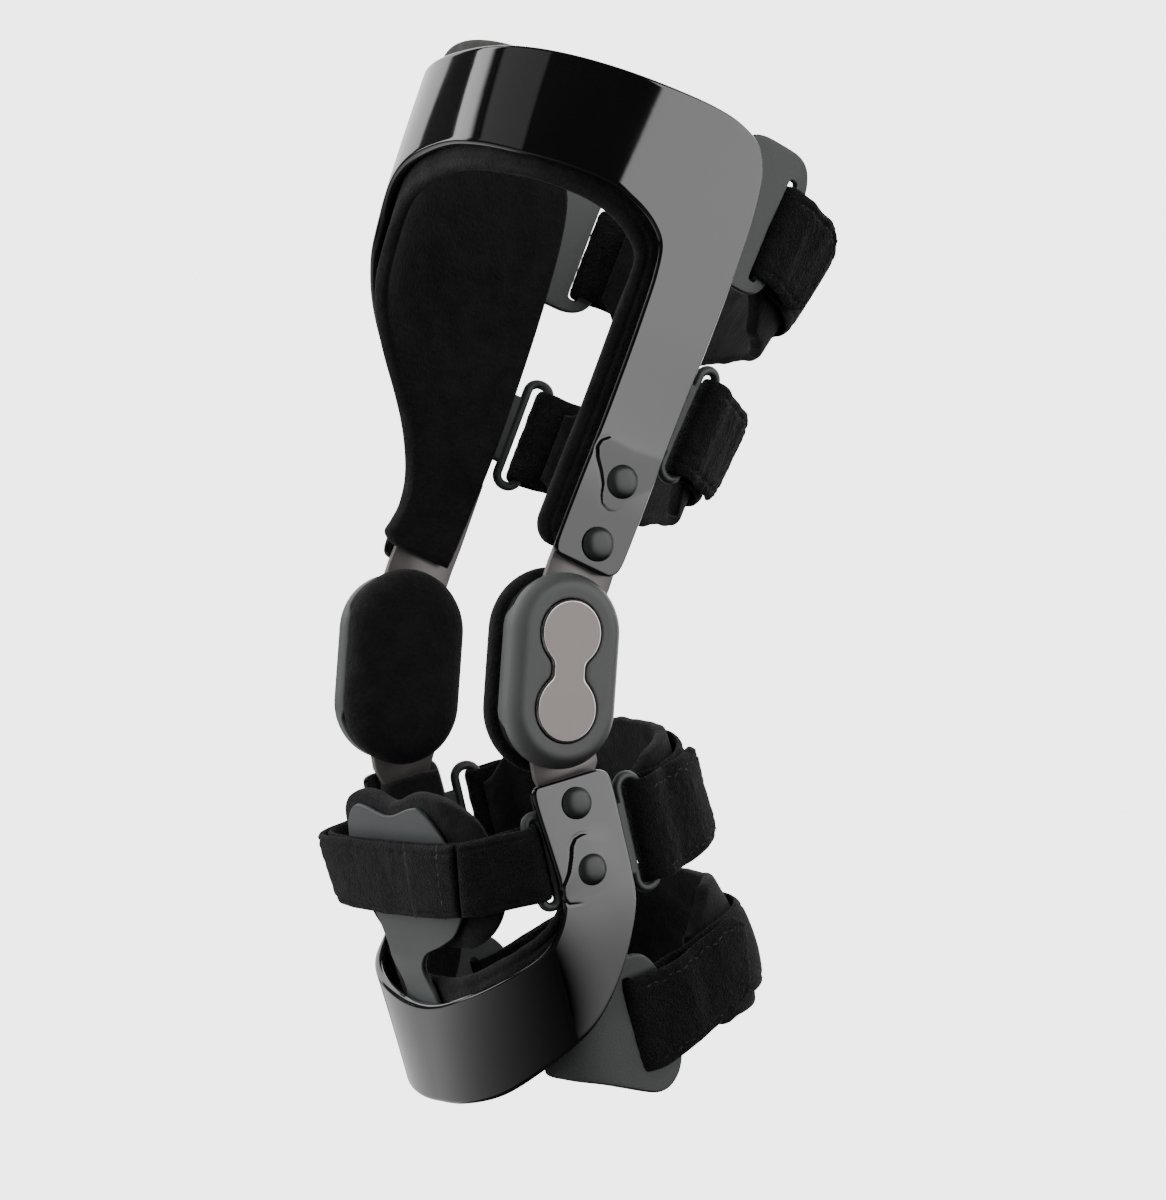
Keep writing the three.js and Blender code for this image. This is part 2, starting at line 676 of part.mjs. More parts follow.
// Side faces of a folded strap at one height: round the outer loop, behind the leg, round the inner loop
function strapSides(form, part) {
  const outerFaces = [];
  const innerFaces = [];
  const heightAt = (angle) => {
    const behind = ease(form.bar_angle, form.bar_angle + 50, angle);
    return mix(form.loop_height, form.back_height, behind) + part * form.half_width;
  };
  const barAngle = form.bar_angle + form.bar_slant * (form.loop_height - heightAt(form.bar_angle));
  const wideSplit = strapSplit(form, 0);
  const splitAt = (angle) => strapSplit(form, angle - barAngle);
  const middleAt = (angle) => strapMiddle(form, angle - barAngle);
  const flapSteps = 4;
  const turnSteps = 4;
  const backSteps = 16;
  const put = (angle, outer, inner, side) => {
    const sign = side > 0 ? 1 : -1;
    outerFaces.push(limbPoint(form.sections, sign * angle, heightAt(angle), outer));
    innerFaces.push(limbPoint(form.sections, sign * angle, heightAt(angle), inner));
  };
  const flap = (side, isOutward) => {
    for (let step = 0; step <= flapSteps; step += 1) {
      const stage = isOutward ? step / flapSteps : 1 - step / flapSteps;
      const angle = mix(barAngle, form.flap_end, stage);
      const middle = middleAt(angle) + splitAt(angle) / 2;
      put(angle, middle + STRAP_WALL / 2, middle - STRAP_WALL / 2, side);
    }
  };
  const turn = (side, isInward) => {
    const sign = side > 0 ? 1 : -1;
    const height = heightAt(barAngle);
    const centre = limbPoint(form.sections, sign * barAngle, height, form.bar_depth);
    const outward = outwardAt(form.sections, sign * barAngle, height);
    const ahead = limbPoint(form.sections, sign * (barAngle - 2), height, form.bar_depth);
    const forward = ahead.sub(centre).normalize();
    for (let step = 1; step < turnSteps; step += 1) {
      const stage = isInward ? step / turnSteps : 1 - step / turnSteps;
      const sweep = Math.PI * stage;
      for (const [faces, radius] of [
        [outerFaces, wideSplit / 2 + STRAP_WALL / 2],
        [innerFaces, wideSplit / 2 - STRAP_WALL / 2],
      ]) {
        const point = centre.clone();
        point.addScaledVector(outward, radius * Math.cos(sweep));
        point.addScaledVector(forward, radius * Math.sin(sweep));
        faces.push(point);
      }
    }
  };
  flap(1, false);
  turn(1, true);
  for (let step = 0; step <= backSteps; step += 1) {
    const round = mix(barAngle, 360 - barAngle, step / backSteps);
    const angle = Math.min(round, 360 - round);
    const middle = middleAt(angle) - splitAt(angle) / 2;
    put(angle, middle - STRAP_WALL / 2, middle + STRAP_WALL / 2, round <= 180 ? 1 : -1);
  }
  turn(-1, false);
  flap(-1, true);
  return { outerFaces, innerFaces };
}

function strapSolid(form) {
  const top = strapSides(form, 1);
  const bottom = strapSides(form, -1);
  const rings = top.outerFaces.map((point, index) => [
    point, bottom.outerFaces[index], bottom.innerFaces[index], top.innerFaces[index],
  ]);
  return solidThrough(rings);
}

// Soft pad between a strap and the back of the leg
function padSolid(form) {
  const rows = [];
  const steps = 10;
  for (let step = 0; step <= steps; step += 1) {
    const angle = mix(180 - PAD_HALF_ANGLE, 180 + PAD_HALF_ANGLE, step / steps);
    const near = Math.min(angle, 360 - angle);
    const middle = mix(form.loop_height, form.back_height, ease(form.bar_angle, form.bar_angle + 50, near));
    const taper = 1 - 0.35 * (1 - ease(180 - PAD_HALF_ANGLE, 180 - PAD_HALF_ANGLE + 12, near));
    rows.push({
      arch_angle: angle, arch_height: middle + form.pad_top * taper,
      rim_angle: angle, rim_height: middle - form.pad_bottom * taper,
    });
  }
  return wallSolid({
    sections: form.sections,
    row: (place) => rowAt(rows, place),
    last: rows.length - 1,
    columns: 1,
    wall: PAD_WALL - 1.5,
    bevel: 1.4,
    depth: (angle) => {
      const near = Math.min(angle, 360 - angle);
      const fromBar = near - form.bar_angle - 2;
      return strapMiddle(form, fromBar) - strapSplit(form, fromBar) / 2 - STRAP_WALL / 2 - PAD_GAP;
    },
  });
}


// Front strap: round the outer loop, over the tongue, round the inner loop and back over itself
function tibialSides(part) {
  const outerFaces = [];
  const innerFaces = [];
  const form = TIBIAL_STRAP;
  const bar = form.bar_angle;
  const split = 2 * (FRONT_LOOP_WIRE + 0.4) + STRAP_WALL;
  const close = STRAP_WALL + 0.5;
  const height = form.height + part * form.half_width;
  const base = (angle) => mix(TIBIAL_STRAP_STAND, form.bar_depth - split / 2, ease(50, bar, Math.abs(angle)));
  const gap = (angle) => mix(close, split, ease(bar - 12, bar, Math.abs(angle)));
  const put = (angle, outer, inner) => {
    outerFaces.push(limbPoint(SHIN_SECTIONS, angle, height, outer));
    innerFaces.push(limbPoint(SHIN_SECTIONS, angle, height, inner));
  };
  const turn = (sign, isInward) => {
    const centre = limbPoint(SHIN_SECTIONS, sign * bar, height, form.bar_depth);
    const outward = outwardAt(SHIN_SECTIONS, sign * bar, height);
    const behind = limbPoint(SHIN_SECTIONS, sign * (bar + 2), height, form.bar_depth);
    const backward = behind.sub(centre).normalize();
    for (let step = 1; step < 4; step += 1) {
      const sweep = Math.PI * (isInward ? step / 4 : 1 - step / 4);
      for (const [faces, radius] of [
        [outerFaces, split / 2 + STRAP_WALL / 2],
        [innerFaces, split / 2 - STRAP_WALL / 2],
      ]) {
        const point = centre.clone();
        point.addScaledVector(outward, radius * Math.cos(sweep));
        point.addScaledVector(backward, radius * Math.sin(sweep));
        faces.push(point);
      }
    }
  };
  const flap = (from, to, steps) => {
    for (let step = 0; step <= steps; step += 1) {
      const angle = mix(from, to, step / steps);
      const middle = base(angle) + gap(angle);
      put(angle, middle + STRAP_WALL / 2, middle - STRAP_WALL / 2);
    }
  };
  flap(52, bar, 3);
  turn(1, true);
  for (let step = 0; step <= 16; step += 1) {
    const angle = mix(bar, -bar, step / 16);
    put(angle, base(angle) - STRAP_WALL / 2, base(angle) + STRAP_WALL / 2);
  }
  turn(-1, false);
  flap(-bar, form.flap_end, 12);
  return { outerFaces, innerFaces };
}

const tibialTop = tibialSides(1);
const tibialBottom = tibialSides(-1);
const tibialStrapGeometry = solidThrough(tibialTop.outerFaces.map((point, index) => [
  point, tibialBottom.outerFaces[index], tibialBottom.innerFaces[index], tibialTop.innerFaces[index],
]));

// Strap loops: a rounded rectangle of wire on the side of the limb

function loopSolid(sections, frontAngle, backAngle, top, bottom, depth, wire) {
  const middleAngle = (frontAngle + backAngle) / 2;
  const middleHeight = (top + bottom) / 2;
  const perDegree = limbPoint(sections, frontAngle, middleHeight, depth)
    .distanceTo(limbPoint(sections, backAngle, middleHeight, depth)) / Math.abs(backAngle - frontAngle);
  const halfWide = Math.abs(backAngle - frontAngle) / 2 * perDegree;
  const halfHigh = (top - bottom) / 2;
  const corner = Math.min(LOOP_CORNER, halfWide - 0.2);
  const outline = [];
  for (const [side, level, start] of [[1, 1, 0], [-1, 1, 90], [-1, -1, 180], [1, -1, 270]]) {
    for (let step = 0; step <= 2; step += 1) {
      const turn = radians(start + step * 45);
      outline.push({
        across: side * (halfWide - corner) + corner * Math.cos(turn),
        up: level * (halfHigh - corner) + corner * Math.sin(turn),
      });
    }
  }
  const placed = outline.map((spot) => {
    const angle = middleAngle + spot.across / perDegree;
    const height = middleHeight + spot.up;
    return {
      at: limbPoint(sections, angle, height, depth),
      outward: outwardAt(sections, angle, height),
    };
  });
  const rings = placed.map((spot, index) => {
    const next = placed[(index + 1) % placed.length].at;
    const last = placed[(index + placed.length - 1) % placed.length].at;
    const along = next.clone().sub(last).normalize();
    const aside = new THREE.Vector3().crossVectors(along, spot.outward).normalize();
    const ring = [];
    for (let step = 0; step < 5; step += 1) {
      const turn = (step + 0.5) / 5 * Math.PI * 2;
      const point = spot.at.clone();
      point.addScaledVector(spot.outward, wire * Math.cos(turn));
      point.addScaledVector(aside, wire * Math.sin(turn));
      ring.push(point);
    }
    return ring;
  });
  return solidThrough(rings, true);
}

// Flat tongue that holds a loop under the frame
function tongueSolid(sections, loop) {
  return wallSolid({
    sections,
    row: (place) => {
      const height = mix(loop.tongue_top, loop.tongue_bottom, place);
      return { arch_angle: loop.tongue, arch_height: height, rim_angle: loop.front, rim_height: height };
    },
    last: 1,
    columns: 1,
    wall: TONGUE_WALL,
    bevel: 0.4,
    depth: () => UNDER_FRAME - 0.1,
  });
}

const thighLoopGeometry = joined(
  loopSolid(
    THIGH_SECTIONS, THIGH_LOOP.front, LOWER_THIGH.bar_angle, THIGH_LOOP.top, THIGH_LOOP.bottom,
    LOWER_THIGH.bar_depth, LOOP_WIRE,
  ),
  tongueSolid(THIGH_SECTIONS, THIGH_LOOP),
);
const calfLoopGeometry = joined(
  loopSolid(
    SHIN_SECTIONS, CALF_LOOP.front, UPPER_CALF.bar_angle, CALF_LOOP.top, CALF_LOOP.bottom,
    UPPER_CALF.bar_depth, LOOP_WIRE,
  ),
  tongueSolid(SHIN_SECTIONS, CALF_LOOP),
);
const tibialLoopGeometry = loopSolid(
  SHIN_SECTIONS, TIBIAL_STRAP.bar_angle, TIBIAL_LOOP.back, TIBIAL_LOOP.top, TIBIAL_LOOP.bottom,
  TIBIAL_STRAP.bar_depth, FRONT_LOOP_WIRE,
);

// Flat pieces of the hinge, drawn on the side plane and given a thickness sideways

function stadiumOutline(radius, half, segments) {
  const outline = [];
  for (let step = 0; step < segments; step += 1) {
    const turn = -Math.PI / 2 + (step + 0.5) / segments * Math.PI;
    outline.push({ y: radius * Math.cos(turn), z: radius * Math.sin(turn) + Math.sign(turn) * half });
  }
  const other = outline.slice().reverse().map((spot) => ({ y: -spot.y, z: spot.z }));
  return [...outline, ...other];
}

function sideLoft(levels, outlineAt) {
  return solidThrough(levels.map((level) => outlineAt(level)
    .map((spot) => new THREE.Vector3(level.x, spot.y, spot.z))));
}

const stadium = (level) => stadiumOutline(level.radius, PIVOT_TO_CENTRE, STADIUM_SEGMENTS);

// Half width of the figure-eight insert at a height
function insertHalfWidth(height, lobe) {
  const away = Math.abs(height) - PIVOT_TO_CENTRE;
  const circle = Math.sqrt(Math.max(0, lobe * lobe - away * away));
  if (away >= 0) {
    return circle;
  }
  const waist = INSERT_WAIST + lobe - INSERT_LOBE_RADIUS;
  const soft = 3.4 * (1 - Math.abs(height) / PIVOT_TO_CENTRE);
  return (circle + waist + Math.sqrt((circle - waist) ** 2 + soft * soft)) / 2;
}

function insertOutline(level) {
  const top = PIVOT_TO_CENTRE + level.radius;
  const outline = [];
  const count = 13;
  for (let step = 0; step < count; step += 1) {
    const turn = -Math.PI / 2 + (step + 0.5) / count * Math.PI;
    const height = top * Math.sin(turn);
    outline.push({ y: insertHalfWidth(height, level.radius), z: height });
  }
  const other = outline.slice().reverse().map((spot) => ({ y: -spot.y, z: spot.z }));
  return [...outline, ...other];
}

function sideBox(fromX, toX, fromY, toY, halfHeight) {
  const box = new THREE.BoxGeometry(toX - fromX, toY - fromY, halfHeight * 2);
  box.translate((fromX + toX) / 2, (fromY + toY) / 2, 0);
  return box;
}

const pocketLevels = [
  { x: COVER_FACE - INSERT_DEPTH, radius: INSERT_LOBE_RADIUS + CLEARANCE },
  { x: COVER_FACE + 2, radius: INSERT_LOBE_RADIUS + CLEARANCE },
];
const capGeometry = sideLoft([
  { x: BAR_OUTER + CLEARANCE, radius: COVER_RADIUS },
  { x: COVER_FACE - 4.6, radius: COVER_RADIUS },
  { x: COVER_FACE - 2.6, radius: COVER_RADIUS - 0.9 },
  { x: COVER_FACE - 0.8, radius: COVER_RADIUS - 2.9 },
  { x: COVER_FACE, radius: COVER_RADIUS - 6.2 },
], stadium);
const rimOuter = asManifold(sideLoft([
  { x: BAR_INNER, radius: COVER_RADIUS },
  { x: BAR_OUTER + 1.5, radius: COVER_RADIUS },
], stadium));
const rimHole = asManifold(sideLoft([
  { x: BAR_INNER - 1, radius: COVER_RADIUS - RIM_WALL },
  { x: BAR_OUTER + 2, radius: COVER_RADIUS - RIM_WALL },
], stadium));
const rimRing = rimOuter.subtract(rimHole);
const rimFront = rimRing.intersect(asManifold(
  sideBox(BAR_INNER - 1, BAR_OUTER + 2, -30, -10, RIM_FRONT_REACH),
));
const rimBack = rimRing.intersect(asManifold(
  sideBox(BAR_INNER - 1, BAR_OUTER + 2, 10, 30, RIM_BACK_REACH),
));
const hingeCoverGeometry = fromManifold(
  asManifold(capGeometry).subtract(asManifold(sideLoft(pocketLevels, insertOutline)))
    .add(rimFront).add(rimBack),
);

const hingeInsertGeometry = sideLoft([
  { x: COVER_FACE - INSERT_DEPTH + CLEARANCE, radius: INSERT_LOBE_RADIUS },
  { x: COVER_FACE + INSERT_RISE - 0.6, radius: INSERT_LOBE_RADIUS },
  { x: COVER_FACE + INSERT_RISE, radius: INSERT_LOBE_RADIUS - 0.9 },
], insertOutline);

function pivotPin(height, radius, fromX, toX) {
  const pin = new THREE.CylinderGeometry(radius, radius, toX - fromX, 12);
  pin.rotateZ(Math.PI / 2);
  pin.translate((fromX + toX) / 2, 0, height);
  return pin;
}

const PLATE_OUTER = BAR_INNER - CLEARANCE;
let hingePlateGeometry = sideLoft([
  { x: PLATE_OUTER - PLATE_WALL, radius: PLATE_RADIUS },
  { x: PLATE_OUTER, radius: PLATE_RADIUS },
], stadium);
for (const side of [1, -1]) {
  const pin = pivotPin(side * PIVOT_TO_CENTRE, PIN_RADIUS, PLATE_OUTER - 1, BAR_OUTER);
  hingePlateGeometry = joined(hingePlateGeometry, pin);
}

const PAD_OUTER = PLATE_OUTER - PLATE_WALL - CLEARANCE;
const condylePadGeometry = sideLoft(
  CONDYLE_PAD.map((row) => ({ x: PAD_OUTER - row.inward, radius: row.radius })), stadium,
);

// Hinge bars: a round end on the pivot, a neck out of the housing, a narrower end under the frame
function barSolid(rows, sign) {
  const side = [{ front: 1.6, back: 1.6, away: -12.5 }];
  for (let step = 1; step <= 8; step += 1) {
    const turn = -Math.PI / 2 + step / 8 * Math.PI / 2;
    const half = BAR_END_RADIUS * Math.cos(turn);
    side.push({ front: half, back: half, away: BAR_END_RADIUS * Math.sin(turn) });
  }
  side.push(...rows);
  const backSide = side.map((spot) => ({ y: spot.back, z: sign * spot.away }));
  const frontSide = side.slice().reverse().map((spot) => ({ y: -spot.front, z: sign * spot.away }));
  const body = sideLoft([{ x: BAR_INNER }, { x: BAR_OUTER }], () => [...backSide, ...frontSide]);
  return cut(body, pivotPin(0, PIN_RADIUS + CLEARANCE, BAR_INNER - 1, BAR_OUTER + 1));
}

function rivetSolid(sections, height) {
  const profile = [[0, 0], [RIVET_RADIUS, 0], [RIVET_RADIUS - 0.3, 1], [RIVET_RADIUS - 2.2, RIVET_RISE - 0.6],
    [0, RIVET_RISE]];
  const head = new THREE.LatheGeometry(profile.map(([x, y]) => new THREE.Vector2(x, y)), 10);
  const angle = sideAngle(sections, RIVET_ACROSS, height);
  const outward = outwardAt(sections, angle, height);
  const above = limbPoint(sections, angle, height + 4, 0);
  const below = limbPoint(sections, angle, height - 4, 0);
  const slope = above.sub(below).normalize();
  outward.addScaledVector(slope, -outward.dot(slope)).normalize();
  head.applyQuaternion(new THREE.Quaternion().setFromUnitVectors(new THREE.Vector3(0, 1, 0), outward));
  const seat = limbPoint(sections, angle, height, 0).addScaledVector(outward, CLEARANCE);
  head.translate(seat.x, seat.y, seat.z);
  return fromManifold(asManifold(head));
}

// Assembly

const finishes = {
  shell: { color: 0x17191a, roughness: 0.12, metalness: 0 },
  foam: { color: 0x141414, roughness: 0.95, metalness: 0 },
  strap: { color: 0x181818, roughness: 0.95, metalness: 0 },
  plastic: { color: 0x54585a, roughness: 0.5, metalness: 0 },
  bar: { color: 0x77736f, roughness: 0.42, metalness: 0.8 },
  cover: { color: 0x4b4e4d, roughness: 0.45, metalness: 0.2 },
  insert: { color: 0x6f6b6a, roughness: 0.38, metalness: 0.7 },
  rivet: { color: 0x3a3c3d, roughness: 0.4, metalness: 0.3 },
};

const brace = new THREE.Group();
brace.name = 'knee_brace';

function limbGroup(name, tilt, pivotHeight) {
  const limb = new THREE.Group();
  limb.name = name;
  limb.rotation.x = tilt;
  limb.position.set(0, 0, pivotHeight).applyAxisAngle(new THREE.Vector3(1, 0, 0), hingeTilt);
  brace.add(limb);
  return limb;
}

const thigh = limbGroup('thigh_group', thighTilt, PIVOT_TO_CENTRE);
const shin = limbGroup('shin_group', shinTilt, -PIVOT_TO_CENTRE);
const hinges = limbGroup('hinge_group', hingeTilt, 0);

function place(limb, name, geometry, finish) {
  const mesh = new THREE.Mesh(geometry, new THREE.MeshStandardMaterial(finishes[finish]));
  mesh.name = name;
  limb.add(mesh);
}

function placePair(limb, name, geometry, finish) {
  place(limb, `${name}_lateral`, geometry, finish);
  place(limb, `${name}_medial`, mirrored(geometry), finish);
}

place(thigh, 'thigh_frame', thighFrameGeometry, 'shell');
place(thigh, 'thigh_liner', thighLinerGeometry, 'foam');
placePair(thigh, 'thigh_tab', thighTabGeometry, 'plastic');
place(thigh, 'upper_thigh_strap', strapSolid(UPPER_THIGH), 'strap');
place(thigh, 'upper_thigh_pad', padSolid(UPPER_THIGH), 'foam');
placePair(thigh, 'thigh_loop', thighLoopGeometry, 'plastic');
place(thigh, 'lower_thigh_strap', strapSolid(LOWER_THIGH), 'strap');
place(thigh, 'lower_thigh_pad', padSolid(LOWER_THIGH), 'foam');
placePair(thigh, 'upper_bar', barSolid(UPPER_BAR, 1), 'bar');
THIGH_RIVET_HEIGHTS.forEach((height, index) => {
  placePair(thigh, `thigh_rivet_${index + 1}`, rivetSolid(THIGH_SECTIONS, height), 'rivet');
});

placePair(hinges, 'hinge_cover', hingeCoverGeometry, 'cover');
placePair(hinges, 'hinge_insert', hingeInsertGeometry, 'insert');
placePair(hinges, 'hinge_plate', hingePlateGeometry, 'bar');
placePair(hinges, 'condyle_pad', condylePadGeometry, 'foam');

place(shin, 'shin_frame', shinFrameGeometry, 'shell');
place(shin, 'shin_liner', shinLinerGeometry, 'foam');
placePair(shin, 'lower_bar', barSolid(LOWER_BAR, -1), 'bar');
SHIN_RIVET_HEIGHTS.forEach((height, index) => {
  placePair(shin, `shin_rivet_${index + 1}`, rivetSolid(SHIN_SECTIONS, height), 'rivet');
});
place(shin, 'tibial_plate', tibialPlateGeometry, 'plastic');
place(shin, 'tibial_pad', tibialPadGeometry, 'foam');
place(shin, 'tibial_strap', tibialStrapGeometry, 'strap');
placePair(shin, 'tibial_loop', tibialLoopGeometry, 'plastic');
placePair(shin, 'calf_loop', calfLoopGeometry, 'plastic');
place(shin, 'upper_calf_strap', strapSolid(UPPER_CALF), 'strap');
place(shin, 'upper_calf_pad', padSolid(UPPER_CALF), 'foam');
placePair(shin, 'calf_tab', calfTabGeometry, 'plastic');
place(shin, 'lower_calf_strap', strapSolid(LOWER_CALF), 'strap');
place(shin, 'lower_calf_pad', padSolid(LOWER_CALF), 'foam');

export default brace;
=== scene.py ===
# %% [markdown]
# # A hinged knee brace
# The brace is two glossy shells, a thigh shell and a shin shell, joined on each side by a hinge with
# two pivots. Soft straps close it at the back. The solids of the part are loaded first and stay where
# they are; the pieces made below take their places one by one.

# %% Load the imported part
import math
import bpy
import bmesh
import numpy as np
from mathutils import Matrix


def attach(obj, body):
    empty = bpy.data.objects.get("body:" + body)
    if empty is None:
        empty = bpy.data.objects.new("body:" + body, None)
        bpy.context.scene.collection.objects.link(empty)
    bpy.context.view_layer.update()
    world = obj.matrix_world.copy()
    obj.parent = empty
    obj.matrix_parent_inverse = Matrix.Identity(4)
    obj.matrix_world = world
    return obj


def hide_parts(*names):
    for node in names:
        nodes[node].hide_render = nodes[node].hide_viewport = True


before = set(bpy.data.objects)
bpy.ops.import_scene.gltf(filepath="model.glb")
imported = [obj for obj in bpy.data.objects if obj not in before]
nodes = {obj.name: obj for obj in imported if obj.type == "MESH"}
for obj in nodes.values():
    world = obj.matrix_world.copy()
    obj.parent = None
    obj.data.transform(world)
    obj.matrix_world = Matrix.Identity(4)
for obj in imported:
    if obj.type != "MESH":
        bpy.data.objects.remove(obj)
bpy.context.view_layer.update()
MM = 0.001
SIDES = ("lateral", "medial")

# %% [markdown]
# ## Two cores to build on
# Nearly every piece lies on one of two rounded forms, called cores here. Instead of placing points one
# by one, a core is described by a few sections: how wide it is, how far it reaches to the front and to
# the back, and how square it is. A point is then an angle round the core (0 in front, 90 on the outer
# side), a height from the pivot and a depth. The same numbers shape the solids, so both lie in one
# place.

# %% Sections of the cores
THIGH_SECTIONS = {
    "height": (0, 70, 120, 180, 220), "half_width": (72.5, 72.6, 76, 80, 82),
    "front": (70, 74, 84, 92, 95), "back": (50, 51, 54, 66, 72),
    "front_square": (5, 4, 3.2, 2.6, 2.4), "back_square": (3.4, 3.2, 2.8, 2.4, 2.4),
}
SHIN_SECTIONS = {
    "height": (-170, -120, -68, 0), "half_width": (60, 65.4, 72.3, 72.5),
    "front": (50, 49, 46, 46), "back": (76, 82, 66, 60),
    "front_square": (2.3, 2.6, 3.6, 5), "back_square": (2.3, 2.4, 3, 3.4),
}


def section_value(sections, key, height):
    """A section size at any height, along a curve that never overshoots its rows."""
    level = np.array(sections["height"], float)
    size = np.array(sections[key], float)
    slope = np.diff(size) / np.diff(level)
    lean = np.concatenate([slope[:1], np.zeros(len(size) - 2), slope[-1:]])
    for row in range(1, len(size) - 1):
        before, after = slope[row - 1], slope[row]
        lean[row] = 2 * before * after / (before + after) if before * after > 0 else 0
    held = np.clip(height, level[0], level[-1])
    row = np.clip(np.searchsorted(level, held) - 1, 0, len(level) - 2)
    span = level[row + 1] - level[row]
    t = (held - level[row]) / span
    return ((2 * t**3 - 3 * t**2 + 1) * size[row] + (t**3 - 2 * t**2 + t) * span * lean[row]
            + (3 * t**2 - 2 * t**3) * size[row + 1] + (t**3 - t**2) * span * lean[row + 1])


def core_points(sections, angle, height, depth):
    """Points on a core, in millimetres, before the core is tilted."""
    angle, height, depth = np.broadcast_arrays(*(np.asarray(v, float) for v in (angle, height, depth)))
    side, ahead = np.sin(np.radians(angle)), np.cos(np.radians(angle))
    is_front = ahead > 0
    long = depth + np.where(is_front, section_value(sections, "front", height),
                            section_value(sections, "back", height))
    wide = depth + section_value(sections, "half_width", height)
    square = np.where(is_front, section_value(sections, "front_square", height),
                      section_value(sections, "back_square", height))
    reach = (np.abs(side / wide) ** square + np.abs(ahead / long) ** square) ** (-1 / square)
    return np.stack([reach * side, -reach * ahead, height], -1)


# %% Where the cores and the hinge are
HINGE_TILT, HALF_BEND, PIVOT = 4.5, 19.0, 13.8


def tilt(degrees):
    turn = math.radians(degrees)
    return np.array([[1, 0, 0], [0, math.cos(turn), -math.sin(turn)], [0, math.sin(turn), math.cos(turn)]])


CORES = {
    "thigh": {"sections": THIGH_SECTIONS, "turn": tilt(-HINGE_TILT - HALF_BEND), "body": "thigh_section",
              "pivot": tilt(-HINGE_TILT) @ (0, 0, PIVOT)},
    "shin": {"sections": SHIN_SECTIONS, "turn": tilt(HALF_BEND - HINGE_TILT), "body": "shin_section",
             "pivot": tilt(-HINGE_TILT) @ (0, 0, -PIVOT)},
    "hinge": {"turn": tilt(-HINGE_TILT), "pivot": np.zeros(3)},
}


def placed(core, points):
    """Millimetres on a core to metres in the shared frame."""
    return (points @ CORES[core]["turn"].T + CORES[core]["pivot"]) * MM


def on_core(core, angle, height, depth):
    return placed(core, core_points(CORES[core]["sections"], angle, height, depth))


def ease(start, end, value):
    t = np.clip((np.asarray(value, float) - start) / (end - start), 0, 1)
    return t * t * (3 - 2 * t)


def mix(start, end, t):
    return start + (end - start) * t


def rows_at(rows, place):
    """A smooth curve through the rows of a table, read at places between them."""
    rows = np.array(rows, float)
    last = len(rows) - 1
    index = np.clip(np.floor(place).astype(int), 0, last - 1)
    t = (place - index)[:, None]
    start, end = rows[index], rows[index + 1]
    before, after = rows[np.maximum(index - 1, 0)], rows[np.minimum(index + 2, last)]
    return ((2 * t**3 - 3 * t**2 + 1) * start + (t**3 - 2 * t**2 + t) * (end - before) / 2
            + (3 * t**2 - 2 * t**3) * end + (t**3 - t**2) * (after - start) / 2)


print("thigh pivot", CORES["thigh"]["pivot"].round(2), "shin pivot", CORES["shin"]["pivot"].round(2))

# %% [markdown]
# ## Meshes out of rings
# A shell, a lining, a plate and a strap are all a row of rings. Joining ring to ring gives clean quads
# that shade smoothly. The ends are closed between points that face each other.

# %% Ring mesh


def ring_mesh(name, rings, loop=False):
    count, around, _ = rings.shape
    index = np.arange(count * around).reshape(count, around)
    spans = count if loop else count - 1
    here, there = index[:spans], index[(np.arange(spans) + 1) % count]
    quads = np.stack([here, np.roll(here, -1, 1), np.roll(there, -1, 1), there], -1)
    quads = quads.reshape(-1, 4).tolist()
    if not loop:
        for ring in (index[0], index[-1]):
            quads += [[ring[i], ring[i + 1], ring[-2 - i], ring[-1 - i]] for i in range(around // 2 - 1)]
    mesh = bpy.data.meshes.new(name)
    mesh.from_pydata(rings.reshape(-1, 3).tolist(), [], quads)
    return outward(mesh)


def outward(mesh):
    """Faces turned outwards and shaded smooth."""
    work = bmesh.new()
    work.from_mesh(mesh)
    bmesh.ops.recalc_face_normals(work, faces=work.faces)
    work.to_mesh(mesh)
    work.free()
    mesh.polygons.foreach_set("use_smooth", np.ones(len(mesh.polygons), bool))
    return mesh


def piece_from(mesh, material=None, name=None):
    piece = bpy.data.objects.new(name or mesh.name, mesh)
    bpy.context.scene.collection.objects.link(piece)
    if material:
        mesh.materials.append(material)
    return piece


def joined(name, meshes):
    """One mesh out of several that belong to the same piece."""
    work = bmesh.new()
    for mesh in meshes:
        work.from_mesh(mesh)
    whole = bpy.data.meshes.new(name)
    work.to_mesh(whole)
    work.free()
    whole.polygons.foreach_set("use_smooth", np.ones(len(whole.polygons), bool))
    return whole


def mirrored(mesh, name):
    """The same piece for the inner side."""
    other = mesh.copy()
    other.name = name
    points = np.empty(len(other.vertices) * 3)
    other.vertices.foreach_get("co", points)
    points[0::3] *= -1
    other.vertices.foreach_set("co", points)
    other.flip_normals()
    return other


def settle(piece, body, slot, *replaced):
    """Every piece ends here: what it moves with and which solids it stands for. The slot is not used."""
    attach(piece, body)
    if replaced:
        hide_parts(*replaced)
    print(piece.name, "faces", len(piece.data.polygons), "on", body)


def settle_pair(mesh, name, material, bodies, slot, solid):
    """A piece of the outer side and its mirror image on the inner side."""
    for side, body, copy in zip(SIDES, bodies, (mesh, mirrored(mesh, f"{name}_medial"))):
        settle(piece_from(copy, material), body, slot, f"{solid}_{side}")


# %% [markdown]
# ## A wall with rounded edges
# The shells, linings and plates are walls of even thickness between two edge lines. Light shows an edge
# first, so the edge is a real quarter round on both faces, and the ends of a wall are rounded the same
# way: near an end the wall gets thinner along a circle. A relief can lift the outer face.

# %% Wall
ARC = np.radians(np.linspace(90, 0, 7))
ROUND_SHARE, GROOVE_DEPTH, GROOVE_WIDTH = 0.48, 0.7, 0.8
END_STEPS = 13


def ring_size(columns):
    """How many points one ring of a wall has: two faces, each with a round at both edges."""
    return 2 * (2 * len(ARC) + columns - 1)


